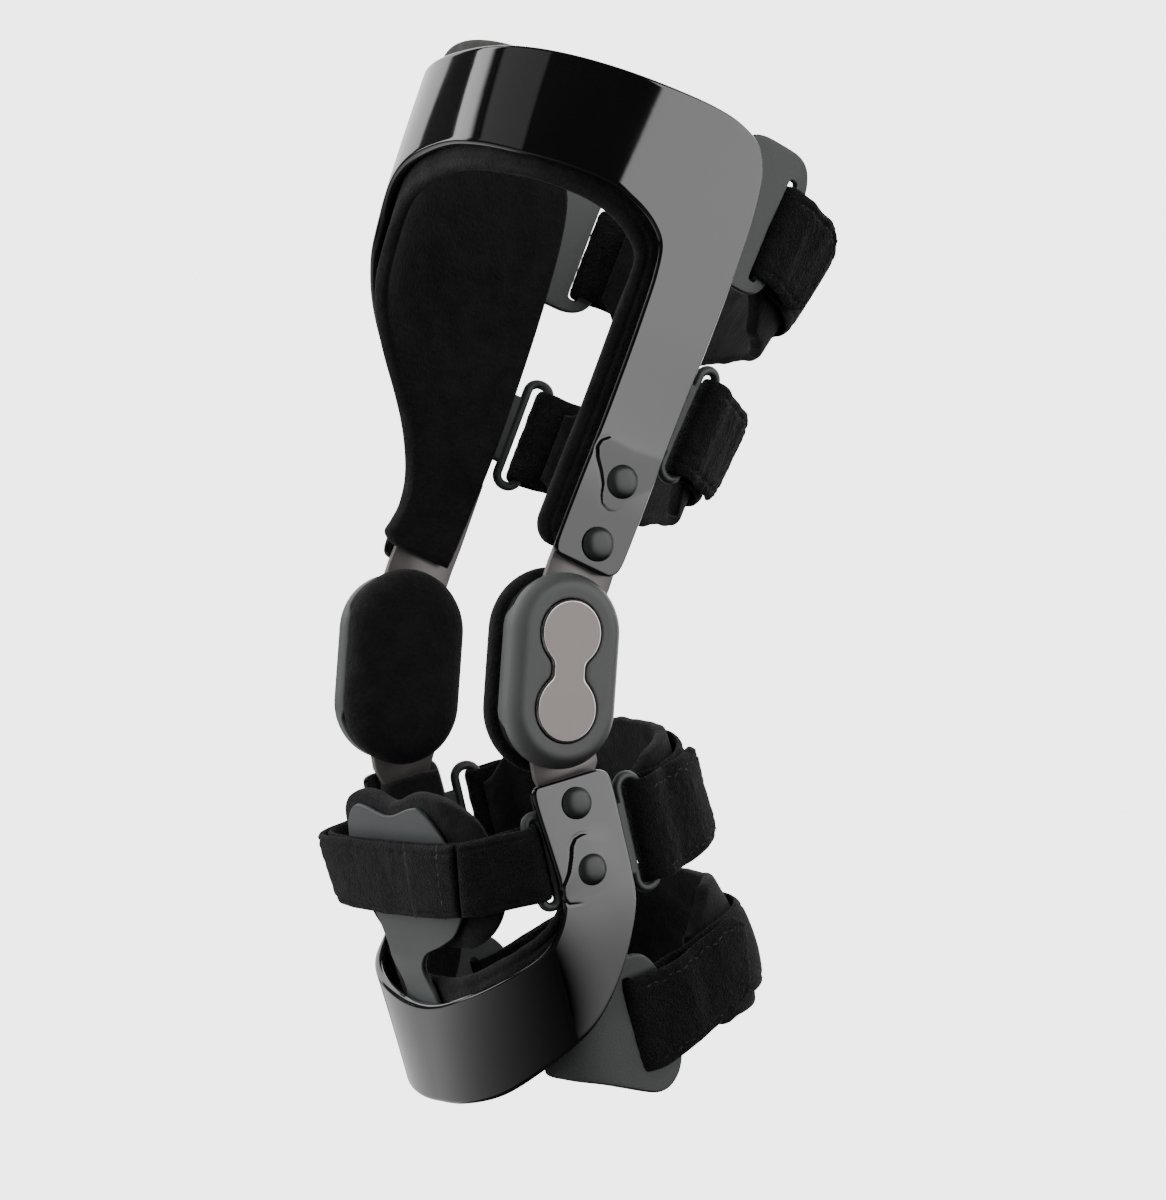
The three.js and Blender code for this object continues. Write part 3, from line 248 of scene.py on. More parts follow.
def wall(name, core, arch, rim, thick, edge, depth, columns=24, loop=False, past=(0, 0), lift=None,
         relief=None, groove=None):
    """A wall between two lines of angle and height, thick millimetres deep, with edges rounded by edge."""
    sections = CORES[core]["sections"]
    arch_point = core_points(sections, arch[:, 0], arch[:, 1], 0)
    rim_point = core_points(sections, rim[:, 0], rim[:, 1], 0)
    width = np.linalg.norm(arch_point - rim_point, axis=1)
    middle = (arch_point + rim_point) / 2
    run = np.concatenate([[0], np.cumsum(np.linalg.norm(np.diff(middle, axis=0), axis=1))])
    inset = np.zeros(len(arch))
    if not loop:
        short = np.clip(edge - np.minimum(run, run[-1] - run), 0, edge)
        inset = edge - np.sqrt(edge**2 - short**2)
    left = thick - 2 * inset
    radius = np.minimum(edge, ROUND_SHARE * left)
    first, last = -np.asarray(past[0]) / width, 1 + np.asarray(past[1]) / width
    step_in = radius[:, None] * (1 - np.sin(ARC))
    step_down = radius[:, None] * (1 - np.cos(ARC))
    inner_first, inner_last = first + radius / width, last - radius / width
    flat = mix(inner_first[:, None], inner_last[:, None], np.arange(1, columns) / columns)
    across = np.concatenate([first[:, None] + step_in / width[:, None], flat,
                             (last[:, None] - step_in / width[:, None])[:, ::-1]], 1)
    down = np.concatenate([step_down, np.zeros_like(flat), step_down[:, ::-1]], 1)
    angle = mix(arch[:, :1], rim[:, :1], across)
    height = mix(arch[:, 1:], rim[:, 1:], across)
    if lift:
        height = height + lift(angle, height)
    level = depth(angle, height)
    raised = relief(angle, height) if relief else 0
    if groove:
        from_edge = (across - first[:, None]) * width[:, None]
        raised = raised - GROOVE_DEPTH * np.exp(-((from_edge - groove) / GROOVE_WIDTH) ** 2)
    outer = on_core(core, angle, height, level - inset[:, None] - down + raised)
    inner = on_core(core, angle, height, level - inset[:, None] - left[:, None] + down)
    return ring_mesh(name, np.concatenate([outer, inner[:, ::-1]], 1), loop)


def places(rows, per_row, finer=()):
    """Places along a table: per_row steps for each row, more of them where finer says so."""
    found = [np.linspace(0, 1, END_STEPS)[:-1]]
    for row in range(1, rows - 2):
        count = per_row
        for start, end, more in finer:
            count = more if start <= row < end else count
        found.append(row + np.arange(count) / count)
    found.append(rows - 2 + np.linspace(0, 1, END_STEPS))
    return np.concatenate(found)


# %% [markdown]
# ## Finishes
# Each finish is a small set of nodes. Noise breaks up colour and roughness, because no real surface is
# even, and bump gives the grain, the knit or the fuzz. Patterns are in metres on the object's own
# coordinates, so a scale of 2000 means about half a millimetre. A value that is the same all over is
# set on the shader itself.

# %% Node helpers


def new_finish(name):
    material = bpy.data.materials.new(name)
    material.use_nodes = True
    tree = material.node_tree
    return material, tree, tree.nodes["Principled BSDF"]


def node(tree, kind, values=(), **settings):
    made = tree.nodes.new(kind)
    for key, value in settings.items():
        setattr(made, key, value)
    for key, value in values:
        made.inputs[key].default_value = value
    return made


def object_noise(tree, scale, detail=3, stretch=(1, 1, 1)):
    place = node(tree, "ShaderNodeTexCoord")
    turn = node(tree, "ShaderNodeMapping", [("Scale", stretch)])
    grain = node(tree, "ShaderNodeTexNoise", [("Scale", scale), ("Detail", detail)])
    tree.links.new(place.outputs["Object"], turn.inputs["Vector"])
    tree.links.new(turn.outputs["Vector"], grain.inputs["Vector"])
    return grain


def spread(tree, source, low, high, start=0.3, end=0.7):
    """A noise value spread between two numbers."""
    limits = [("From Min", start), ("From Max", end), ("To Min", low), ("To Max", high)]
    span = node(tree, "ShaderNodeMapRange", limits)
    tree.links.new(source, span.inputs["Value"])
    return span.outputs["Result"]


def two_tone(tree, source, dark, light, start=0.35, end=0.65):
    ramp = node(tree, "ShaderNodeValToRGB")
    for stop, place, colour in zip(ramp.color_ramp.elements, (start, end), (dark, light)):
        stop.position = place
        stop.color = (*colour, 1)
    tree.links.new(source, ramp.inputs["Fac"])
    return ramp.outputs["Color"]


def bumped(tree, height, distance, strength=1.0, below=None):
    bump = node(tree, "ShaderNodeBump", [("Strength", strength), ("Distance", distance)])
    tree.links.new(height, bump.inputs["Height"])
    if below:
        tree.links.new(below.outputs["Normal"], bump.inputs["Normal"])
    return bump


COAT_ROUGHNESS = 0.04


def moulded(name, dark, light, rough, grain, grain_depth, metal=0.0, coat=0.0, stretch=(1, 1, 1), spot=18):
    """Hard finishes: plastic, paint and metal."""
    material, tree, shader = new_finish(name)
    clouds = object_noise(tree, spot, 4)
    fine = object_noise(tree, grain, 2, stretch)
    tree.links.new(two_tone(tree, clouds.outputs["Fac"], dark, light), shader.inputs["Base Color"])
    tree.links.new(spread(tree, clouds.outputs["Fac"], rough[0], rough[1]), shader.inputs["Roughness"])
    bump = bumped(tree, fine.outputs["Fac"], grain_depth)
    tree.links.new(bump.outputs["Normal"], shader.inputs["Normal"])
    shader.inputs["Metallic"].default_value = metal
    shader.inputs["Coat Weight"].default_value = coat
    shader.inputs["Coat Roughness"].default_value = COAT_ROUGHNESS
    return material


# %% Hard finishes
LACQUER = moulded("black_lacquer", (0.0009, 0.001, 0.001), (0.0018, 0.002, 0.002), (0.05, 0.1),
                  grain=110, grain_depth=0.00003, coat=1.0, spot=25)
SHELL_INSIDE = moulded("dull_shell_inside", (0.006, 0.0062, 0.0062), (0.009, 0.0093, 0.0093), (0.6, 0.75),
                       grain=700, grain_depth=0.00006)
GREY_PLASTIC = moulded("grey_moulded_plastic", (0.042, 0.047, 0.047), (0.056, 0.061, 0.061), (0.4, 0.5),
                       grain=1600, grain_depth=0.00007)
COVER_PAINT = moulded("hinge_cover_paint", (0.062, 0.066, 0.064), (0.077, 0.081, 0.079), (0.38, 0.46),
                      grain=1900, grain_depth=0.00005)
RIVET_PAINT = moulded("rivet_paint", (0.02, 0.022, 0.0225), (0.028, 0.03, 0.031), (0.3, 0.4),
                      grain=1800, grain_depth=0.00004)
BAR_METAL = moulded("satin_bar_metal", (0.165, 0.15, 0.147), (0.205, 0.188, 0.184), (0.42, 0.52),
                    grain=900, grain_depth=0.00004, metal=0.6, stretch=(1, 1, 0.06))
INSERT_METAL = moulded("brushed_insert_metal", (0.2, 0.176, 0.169), (0.24, 0.213, 0.205), (0.36, 0.44),
                       grain=1500, grain_depth=0.00003, metal=0.55, stretch=(1, 0.05, 1))
# Near-black hinge plate colour: painted shade standing in for the dark gap between housing and pad.
PLATE_PAINTED_SHADE = moulded("inner_plate_paint", (0.01, 0.0105, 0.0105), (0.016, 0.0165, 0.0165), (0.45, 0.55),
                      grain=1500, grain_depth=0.00005)
CUT_EDGE = moulded("bright_cut_edge", (0.5, 0.49, 0.475), (0.64, 0.63, 0.615), (0.12, 0.22),
                   grain=1200, grain_depth=0.00002, metal=1.0)

# %% [markdown]
# ## Soft finishes
# The linings are foam with a fine knit face, the straps are brushed loop fabric. Knit is a lattice of
# small cells, loop fabric is a felt of short hairs with thin and thick places. A little sheen at the
# rim is what tells cloth from plastic, and it is one even value, so it is set on the shader.

# %% Soft finishes
PATCH_SCALE, DENT_SCALE = 110, 75
MIX_SHARE, MIX_BASE, MIX_OVER, MIX_RESULT = 0, 6, 7, 2


def cloth_finish(name, dark, light, cell, fuzz, depth, sheen, dents=0.0):
    material, tree, shader = new_finish(name)
    place = node(tree, "ShaderNodeTexCoord")
    knit = node(tree, "ShaderNodeTexVoronoi", [("Scale", cell)], feature="F1")
    tree.links.new(place.outputs["Object"], knit.inputs["Vector"])
    hairs = object_noise(tree, fuzz, 5)
    patches = object_noise(tree, PATCH_SCALE, 4)
    tone = two_tone(tree, patches.outputs["Fac"], dark, light)
    shade = node(tree, "ShaderNodeMix", [(MIX_SHARE, 0.55)], data_type="RGBA", blend_type="MULTIPLY")
    between = two_tone(tree, hairs.outputs["Fac"], (0.35, 0.35, 0.35), (1, 1, 1), 0.3, 0.62)
    tree.links.new(tone, shade.inputs[MIX_BASE])
    tree.links.new(between, shade.inputs[MIX_OVER])
    tree.links.new(shade.outputs[MIX_RESULT], shader.inputs["Base Color"])
    cells = bumped(tree, knit.outputs["Distance"], depth * 0.7, 0.8)
    felt = bumped(tree, hairs.outputs["Fac"], depth, 1.0, cells)
    if dents:
        felt = bumped(tree, object_noise(tree, DENT_SCALE, 2).outputs["Fac"], dents, 0.6, felt)
    tree.links.new(felt.outputs["Normal"], shader.inputs["Normal"])
    tree.links.new(spread(tree, hairs.outputs["Fac"], 0.85, 1.0), shader.inputs["Roughness"])
    shader.inputs["Sheen Weight"].default_value = sheen
    shader.inputs["Sheen Roughness"].default_value = 0.45
    shader.inputs["Sheen Tint"].default_value = (0.55, 0.55, 0.56, 1)
    shader.inputs["Specular IOR Level"].default_value = 0.2
    return material


LINING = cloth_finish("lining_knit", (0.011, 0.011, 0.0112), (0.018, 0.018, 0.0183),
                      cell=620, fuzz=1300, depth=0.0004, sheen=0.08)
FOAM_EDGE = cloth_finish("bare_foam_edge", (0.04, 0.042, 0.038), (0.055, 0.057, 0.052),
                         cell=1500, fuzz=2200, depth=0.00015, sheen=0.05)
PAD_FACE = cloth_finish("pad_knit", (0.008, 0.008, 0.0082), (0.014, 0.014, 0.0143),
                        cell=620, fuzz=1300, depth=0.0004, sheen=0.08)
LOOP_CLOTH = cloth_finish("strap_loop_cloth", (0.005, 0.005, 0.005), (0.0088, 0.0086, 0.0086),
                          cell=1400, fuzz=1250, depth=0.0007, sheen=0.1, dents=0.0022)
THREAD = cloth_finish("black_thread", (0.05, 0.05, 0.05), (0.08, 0.08, 0.08),
                      cell=3000, fuzz=2500, depth=0.0001, sheen=0.1)
print("finishes:", len(bpy.data.materials))

# %% [markdown]
# ## The shells
# The thigh shell is a band round the front with two flat uprights. On the inner side its lower edge
# sweeps down to the upright in a long slant. The shin shell is a band lower down, the same on both
# sides. Each row of the tables gives two edges as angle and height: the arch, which faces the hinge,
# and the rim.

# %% Edge lines of the shells
THIGH_EDGES = (
    # arch_angle, arch_height, rim_angle, rim_height
    (80.2, 25.2, 94.6, 25.2), (78, 26.2, 97.8, 26.6), (77, 29, 99.7, 30), (76.8, 36, 100.2, 37),
    (76.8, 56, 100.2, 56), (76.9, 78, 100, 77), (76.4, 100, 99.3, 101), (75.7, 120, 98.6, 126),
    (75, 134, 97.6, 150), (73.4, 144.5, 96, 172), (69.5, 150.5, 93.5, 187), (63.5, 155, 89.5, 195.5),
    (56, 157.6, 83, 199.6), (46, 158, 74, 201), (33, 158, 58, 200.4), (20, 159, 38, 199.4),
    (8, 159.5, 18, 198.6), (-4, 158, -3, 197.6), (-15, 154.5, -22, 196.5), (-24, 149, -40, 198),
    (-30.5, 140, -57, 199.5), (-35, 128, -72, 200.5), (-41.5, 118, -82, 199.5),
    (-47.5, 109, -89.5, 195), (-54, 99.5, -93.5, 186), (-61, 89, -96, 170), (-68, 77, -97.6, 148),
    (-73.5, 64, -98.8, 122), (-76.2, 52, -99.6, 92), (-76.8, 42, -100.1, 64), (-76.8, 34, -100.2, 42),
    (-77, 29, -99.7, 30), (-78, 26.2, -97.8, 26.6), (-80.2, 25.2, -94.6, 25.2),
)
SHIN_HALF_EDGES = (
    (78.3, -25.2, 96.2, -25.2), (76.3, -26.2, 99.6, -26.5), (75.6, -29, 101.3, -29.5),
    (75.8, -36, 101.8, -36.5), (76.8, -50, 101.9, -50), (77.6, -64, 101.9, -65),
    (76.8, -72.5, 101, -77), (73, -81, 98.4, -87), (67, -87, 94.2, -98), (58, -91.5, 88, -109),
    (46, -96, 79, -119), (33, -99.3, 64, -128), (20, -101.7, 44, -137), (9, -102.8, 21, -140.5),
    (0, -103.1, 0, -141),
)
SHIN_EDGES = SHIN_HALF_EDGES + tuple((-a, b, -c, d) for a, b, c, d in SHIN_HALF_EDGES[-2::-1])
SHELL_WALL, SHELL_EDGE = 3.5, 1.7

# %% [markdown]
# ## The raised panels round the rivets
# Round one rivet of each upright the shell carries a low panel with a wavy front edge that runs out
# flat towards the back. It is only a change of height, so it goes straight into the shell's outer face
# as a relief: the distance to the panel's outline makes the step, and a thin groove draws its shadow
# line.

# %% Relief of the panels
THIGH_PANEL = (
    (-11.6, 72.9), (-14.4, 70.5), (-15, 67.4), (-13.4, 64), (-10, 60), (-7.4, 56), (-6.4, 52),
    (-5, 49.4), (-1.7, 48.1), (1.2, 49), (7, 56.4), (13.3, 62.8), (16, 74), (9.3, 74.4), (-0.5, 72.6),
)
SHIN_PANEL = (
    (-3.1, -46.7), (-6, -47.4), (-8, -49.8), (-9.2, -53.7), (-11.4, -58.8), (-14.6, -63.2),
    (-15.6, -66.6), (-13.8, -69.8), (-9, -70.6), (-0.5, -70.4), (16, -71), (16, -50), (4, -47.6),
)
PANEL_RISE, PANEL_GROOVE, GROOVE_PLACE, GROOVE_HALF = 0.8, 0.35, 0.5, 0.45
SHARP_STEP, SOFT_STEP, SIDE_LIMIT = 0.5, 4.0, 40
FAR_END, BACK_RUN, FAR_RUN, PANEL_BACK = (63, 70), (-7, 6), (-14, -8), (-2, 12)
SHADOW_FROM, SHADOW_TO = (-4, -13), (6, -7)
PANEL_FADE = {"thigh": (47, 70, 0.2, 1), "shin": (-57, -70, 1, 0.15)}


def inside_distance(outline, across, height):
    """How far a point lies inside an outline, negative outside."""
    outline = np.array(outline)
    nearest = np.full(across.shape, 1e9)
    is_inside = np.zeros(across.shape, bool)
    for (y0, z0), (y1, z1) in zip(outline, np.roll(outline, -1, 0)):
        dy, dz = y1 - y0, z1 - z0
        t = np.clip(((across - y0) * dy + (height - z0) * dz) / (dy * dy + dz * dz), 0, 1)
        nearest = np.minimum(nearest, np.hypot(across - y0 - t * dy, height - z0 - t * dz))
        if dz != 0:
            crosses = (z0 > height) != (z1 > height)
            is_inside ^= crosses & (across < y0 + (height - z0) / dz * dy)
    return np.where(is_inside, nearest, -nearest)


def panel_relief(core, outline):
    """The lift of a shell's outer face. across and height are millimetres on the flat of the upright."""
    def relief(angle, height):
        wide = section_value(CORES[core]["sections"], "half_width", height)
        lean = np.clip(np.abs(angle) - 90, -SIDE_LIMIT, SIDE_LIMIT)
        across = wide * np.tan(np.radians(lean))
        deep = inside_distance(outline, across, height)
        far_end = ease(*FAR_END, np.abs(height))
        runs_out = np.maximum(ease(*BACK_RUN, across), far_end * ease(*FAR_RUN, across))
        soft = mix(SHARP_STEP, SOFT_STEP, runs_out)
        start, end, first, last = PANEL_FADE[core]
        fade = mix(first, last, ease(start, end, height)) * (1 - ease(*PANEL_BACK, across))
        shadow = PANEL_GROOVE * np.exp(-((deep + GROOVE_PLACE) / GROOVE_HALF) ** 2)
        shadow = shadow * (1 - ease(mix(*SHADOW_FROM, far_end), mix(*SHADOW_TO, far_end), across))
        return fade * PANEL_RISE * ease(-soft, soft, deep) - shadow
    return relief


# %% [markdown]
# The foot of each thigh upright is polished less than the rest and looks a shade duller from the panel
# down. How much polish a place has is kept on the shell's points, and the lacquer reads it as the
# weight of its clear coat.

# %% Make the shells
SHELL_COLUMNS, EDGE_RINGS = 46, 4
FOOT_POLISH, POLISH_STEP, FOOT_HEIGHTS = 0.42, (-0.8, 1.6), (46, 68)
lacquer_nodes = LACQUER.node_tree
coat = node(lacquer_nodes, "ShaderNodeAttribute", attribute_name="polish")
lacquer_nodes.links.new(coat.outputs["Fac"], lacquer_nodes.nodes["Principled BSDF"].inputs["Coat Weight"])


def keep_polish(mesh, core, outline):
    points = np.array([v.co for v in mesh.vertices]) / MM
    local = (points - CORES[core]["pivot"]) @ CORES[core]["turn"]
    is_foot = np.zeros(len(points))
    if core == "thigh":
        in_panel = ease(*POLISH_STEP, inside_distance(outline, local[:, 1], local[:, 2]))
        is_foot = np.maximum(in_panel, 1 - ease(*FOOT_HEIGHTS, local[:, 2]))
    layer = mesh.attributes.new("polish", "FLOAT", "POINT")
    layer.data.foreach_set("value", (1 - (1 - FOOT_POLISH) * is_foot).astype(np.float32))


def shell(name, core, edges, spots, outline):
    """A shell, polished outside and round its edges and dull inside."""
    edge_rows = rows_at(edges, spots)
    mesh = wall(name, core, edge_rows[:, :2], edge_rows[:, 2:], SHELL_WALL, SHELL_EDGE,
                lambda angle, height: np.zeros_like(angle), columns=SHELL_COLUMNS,
                relief=panel_relief(core, outline))
    mesh.materials.append(LACQUER)
    mesh.materials.append(SHELL_INSIDE)
    keep_polish(mesh, core, outline)
    around = ring_size(SHELL_COLUMNS)
    for face in mesh.polygons:
        spot = [k % around for k in face.vertices]
        is_inside = around // 2 + EDGE_RINGS <= min(spot) and max(spot) < around - EDGE_RINGS
        face.material_index = int(is_inside)
    return mesh


thigh_spots = places(len(THIGH_EDGES), 12, [(3, 5, 44), (27, 31, 30)])
shin_spots = places(len(SHIN_EDGES), 14, [(3, 6, 30), (len(SHIN_EDGES) - 7, len(SHIN_EDGES) - 4, 30)])
settle(piece_from(shell("thigh_shell", "thigh", THIGH_EDGES, thigh_spots, THIGH_PANEL)),
       "thigh_section", "shell", "thigh_frame")
settle(piece_from(shell("shin_shell", "shin", SHIN_EDGES, shin_spots, SHIN_PANEL)),
       "shin_section", "shell", "shin_frame")

# %% [markdown]
# ## The linings
# A foam lining with a knit face lies behind each shell and stands out past the edge that faces the
# hinge. It is a wall too, with the full round edge of foam. Along the sides it lies deeper, behind the
# hinge bars, and its lower ends are cut round. At the top it stands above the shell in front, and there
# the bare foam shows, so those faces get a finish of their own.

# %% Make the linings
UNDER_SHELL, UNDER_BARS = -3.8, -7.3
LINING_WALL, LINING_EDGE, LINING_CORNER, LINING_GROOVE, LINING_COLUMNS = 5.0, 2.3, 9.0, 5.5, 48
PAST_ARCH, PAST_RIM, ABOVE_RIM = 8.5, -3.0, 12.0
LINING_DROP, SIDE_ANGLES, STAND_INNER, STAND_OUTER = 0.75, (34, 62), (-66, -38), (-16, 48)
SHIN_PAST_ARCH, SHIN_PAST_ROWS, SHIN_LINING_COLUMNS = (-1.5, 8.0), (5.5, 8), 30
FOAM_BEFORE_RIM, FOAM_AFTER_RIM = 18, 3


def thigh_lining_depth(angle, height):
    return mix(UNDER_SHELL - LINING_DROP, UNDER_BARS, ease(*SIDE_ANGLES, np.abs(angle)))


def lining_rows(edges):
    """The rows of a shell without its narrow ends."""
    spots = places(len(edges), 12)
    spots = spots[(spots >= 2) & (spots <= len(edges) - 3)]
    return spots, rows_at(edges, spots)


spots, rows = lining_rows(THIGH_EDGES)
short = np.clip(LINING_CORNER - (rows[:, 1] - rows[:, 1].min()), 0, LINING_CORNER)
past_arch = PAST_ARCH - LINING_CORNER + np.sqrt(LINING_CORNER**2 - short**2)
stands = (1 - ease(*STAND_OUTER, rows[:, 2])) * ease(*STAND_INNER, rows[:, 2])
mesh = wall("thigh_lining", "thigh", rows[:, :2], rows[:, 2:], LINING_WALL, LINING_EDGE,
            thigh_lining_depth, columns=LINING_COLUMNS,
            past=(past_arch, PAST_RIM + ABOVE_RIM * stands), groove=LINING_GROOVE)
thigh_lining = piece_from(mesh, LINING)
mesh.materials.append(FOAM_EDGE)
around = ring_size(LINING_COLUMNS)
for face in mesh.polygons:
    from_rim = sorted(k % around - around // 2 for k in face.vertices)
    face.material_index = int(-FOAM_BEFORE_RIM <= from_rim[0] and from_rim[-1] <= FOAM_AFTER_RIM)
settle(thigh_lining, "thigh_section", "foam", "thigh_liner")

spots, rows = lining_rows(SHIN_EDGES)
from_end = np.minimum(spots, len(SHIN_EDGES) - 1 - spots)
past_arch = mix(*SHIN_PAST_ARCH, ease(*SHIN_PAST_ROWS, from_end))
mesh = wall("shin_lining", "shin", rows[:, :2], rows[:, 2:], LINING_WALL, LINING_EDGE,
            lambda angle, height: np.full_like(angle, UNDER_BARS), columns=SHIN_LINING_COLUMNS,
            past=(past_arch, PAST_RIM), groove=LINING_GROOVE)
shin_lining = piece_from(mesh, LINING)
settle(shin_lining, "shin_section", "foam", "shin_liner")

# %% [markdown]
# ## The slotted plates
# Grey plates of bendy plastic stick out from under the shells and carry a strap in a long slot. A plate
# with one slot is a ring-shaped wall: from the rim of the slot to the outline of the plate. A ray from
# the middle of the slot finds both, so the wall builder makes it with rounded edges all round.

# %% Make the slotted plates
THIGH_PLATE = (
    # height, left, right
    (201.5, 92, 103), (200, 88, 107), (196, 86, 110), (190, 85, 111.8), (178, 85, 112.6),
    (165, 85.5, 112.8), (156, 87, 112.4), (150, 89, 111), (146.5, 92, 108), (145, 95.5, 104),
)
CALF_PLATE = (
    (-96.5, 95, 101), (-98.5, 92, 104), (-102, 88.5, 106.8), (-108, 84, 109.5), (-116, 77, 112),
    (-124, 69, 113.6), (-131, 60, 114.6), (-136, 68, 114.8), (-141, 80, 114.2), (-146, 90.5, 112.4),
    (-149.5, 98, 109), (-151, 102, 106),
)
THIGH_SLOT = ((191.5, 103.9, 107.2), (151, 103.9, 107.2))
CALF_SLOT = ((-105, 93.8, 97.1), (-141.5, 98.2, 101.5))
PER_DEGREE = 1.25
PLATE_WALL, PLATE_EDGE, PLATE_ROWS, PLATE_COLUMNS = 2.5, 0.9, 90, 16
PLATE_POINTS, PLATE_ROUNDS, HOLE_POINTS, HOLE_ROUNDS = 260, 12, 400, 60


def even(points, count):
    """A closed line cut into equal steps."""
    closed = np.vstack([points, points[:1]])
    run = np.concatenate([[0], np.cumsum(np.linalg.norm(np.diff(closed, axis=0), axis=1))])
    spots = np.linspace(0, run[-1], count, endpoint=False)
    return np.stack([np.interp(spots, run, closed[:, 0]), np.interp(spots, run, closed[:, 1])], 1)


def smoothed(points, rounds):
    for _ in range(rounds):
        points = points / 2 + (np.roll(points, 1, 0) + np.roll(points, -1, 0)) / 4
    return points


def ray_hits(outline, middle, directions):
    """Where rays from the middle meet a closed outline."""
    start = outline - middle
    end = np.roll(start, -1, 0)
    hits = np.zeros((len(directions), 2))
    for k, (dx, dy) in enumerate(directions):
        side = dx * start[:, 1] - dy * start[:, 0]
        other = dx * end[:, 1] - dy * end[:, 0]
        share = side / np.where(side == other, 1, side - other)
        point = start + (end - start) * share[:, None]
        is_hit = (side * other <= 0) & (side != other) & (point @ (dx, dy) > 0)
        hits[k] = point[np.argmax(is_hit)] + middle
    return hits


def slotted_plate(name, core, table, slot, depth):
    edge = rows_at(table, np.linspace(0, len(table) - 1, PLATE_ROWS))
    outline = np.vstack([edge[:, [2, 0]], edge[::-1][:, [1, 0]]]) * (PER_DEGREE, 1)
    outline = smoothed(even(outline, PLATE_POINTS), PLATE_ROUNDS)
    (top, top_front, top_back), (low, low_front, low_back) = slot
    corners = np.array([(top_back, top), (low_back, low), (low_front, low), (top_front, top)])
    corners = corners * (PER_DEGREE, 1)
    hole = smoothed(even(corners, HOLE_POINTS), HOLE_ROUNDS)
    middle = corners.mean(0)
    directions = outline - middle
    directions /= np.linalg.norm(directions, axis=1)[:, None]
    inner = ray_hits(hole, middle, directions)
    return wall(name, core, inner / (PER_DEGREE, 1), outline / (PER_DEGREE, 1), PLATE_WALL, PLATE_EDGE,
                lambda angle, height: np.full_like(angle, depth), columns=PLATE_COLUMNS, loop=True)


for core, name, table, slot, depth in (("thigh", "thigh_tab", THIGH_PLATE, THIGH_SLOT, UNDER_SHELL - 0.3),
                                       ("shin", "calf_tab", CALF_PLATE, CALF_SLOT, UNDER_SHELL - 0.55)):
    plate = slotted_plate(f"{name}_plate_lateral", core, table, slot, depth)
    settle_pair(plate, f"{name}_plate", GREY_PLASTIC, 2 * [CORES[core]["body"]], "plastic", name)

# %% [markdown]
# ## The tongue
# A grey tongue rises from behind the shin shell, with a wider head whose top edge dips in the middle.
# The table gives its left and right edge at each height.

# %% Make the tongue
TONGUE = (
    # height, left, right
    (-30.5, -26, 32), (-32.5, -32, 37.5), (-36, -36.5, 42), (-42, -39, 45.5), (-54, -40, 47),
    (-64, -36, 46.5), (-70, -31, 43.5), (-76, -28, 37.5), (-80, -26, 27), (-83, -25, 14.5),
    (-86.5, -24.5, 8), (-91, -24.5, 3.5), (-97, -25, 3.5), (-102, -25.5, 7), (-108, -26, 11),
)
TONGUE_MIDDLE, TONGUE_DIP, DIP_WIDTH, DIP_HEIGHTS = 3, 4, 60, (-44, -28)
TONGUE_WALL, TONGUE_COLUMNS, TONGUE_DEPTHS, TONGUE_RISE = 2.2, 60, (UNDER_SHELL - 0.2, -0.4), (-100.5, -84)


def tongue_lift(angle, height):
    """The top edge is lowest in the middle and rises in a soft wave to both sides."""
    away = np.minimum(DIP_WIDTH, np.abs(angle - TONGUE_MIDDLE))
    return TONGUE_DIP * (1 - np.cos(np.radians(away * 360 / DIP_WIDTH))) / 2 * ease(*DIP_HEIGHTS, height)


def plate_rows(table, per_row):
    edge = rows_at(table, places(len(table), per_row))
    return edge[:, [1, 0]], edge[:, [2, 0]]


left, right = plate_rows(TONGUE, 10)
mesh = wall("shin_tongue", "shin", left, right, TONGUE_WALL, PLATE_EDGE,
            lambda angle, height: mix(*TONGUE_DEPTHS, ease(*TONGUE_RISE, height)),
            columns=TONGUE_COLUMNS, lift=tongue_lift)
settle(piece_from(mesh, GREY_PLASTIC), "shin_section", "plastic", "tibial_plate")

# %% [markdown]
# ## The straps
# A strap is a flat band of brushed loop fabric. It goes through a loop or a slot on one side, round the
# back and through the other side, and both ends fold back over it. The band is modelled directly,
# because a strap that holds has no loose cloth to simulate: its path is the core itself, standing off a
# little behind. Small seeded waves along the band and at its edges keep it from looking like sheet
# metal.

# %% Sizes of the straps
STRAP_WALL, FOLD_ANGLE, BACK_TURN, BACK_ANGLE = 2.2, 8, 50, 158
STRAPS = {
    "upper_thigh": dict(core="thigh", loop_height=171, back_height=168, half_width=18.5, bar_angle=107.4,
                        bar_slant=0, bar_depth=-5.4, bar_half=1.6, bar_width=6.2, flap_end=136,
                        back_stand=5, pad_top=23, pad_bottom=31, pad_reach=66),
    "lower_thigh": dict(core="thigh", loop_height=92.1, back_height=93, half_width=18.6, bar_angle=110,
                        bar_slant=0, bar_depth=-5.6, bar_half=2.6, bar_width=2.2, flap_end=142,
                        back_stand=3, pad_top=20, pad_bottom=28, pad_reach=63),
    "upper_calf": dict(core="shin", loop_height=-53, back_height=-46, half_width=19, bar_angle=113,
                       bar_slant=0, bar_depth=-5.6, bar_half=2.6, bar_width=2.2, flap_end=146,
                       back_stand=5, pad_top=24, pad_bottom=22, pad_reach=66),
    "lower_calf": dict(core="shin", loop_height=-123.5, back_height=-112, half_width=18, bar_angle=99.4,
                       bar_slant=0.12, bar_depth=-5.45, bar_half=1.7, bar_width=16.5, flap_end=142,
                       back_stand=3.5, pad_top=29, pad_bottom=24, pad_reach=53),
}
PARTS = np.sin(np.radians(np.linspace(-90, 90, 45))) * 0.6 + np.linspace(-0.4, 0.4, 45)
FLAP_STEPS, BACK_STEPS, TURN_STEPS = 76, 200, 14
NAP, NAP_SUM, FLAP_CORNER, SEAM_PLACE = 0.11, 2.8, 11.0, 0.8
WAVE_LENGTHS, FULL_TURN = (90, 47, 26, 15), 6.28
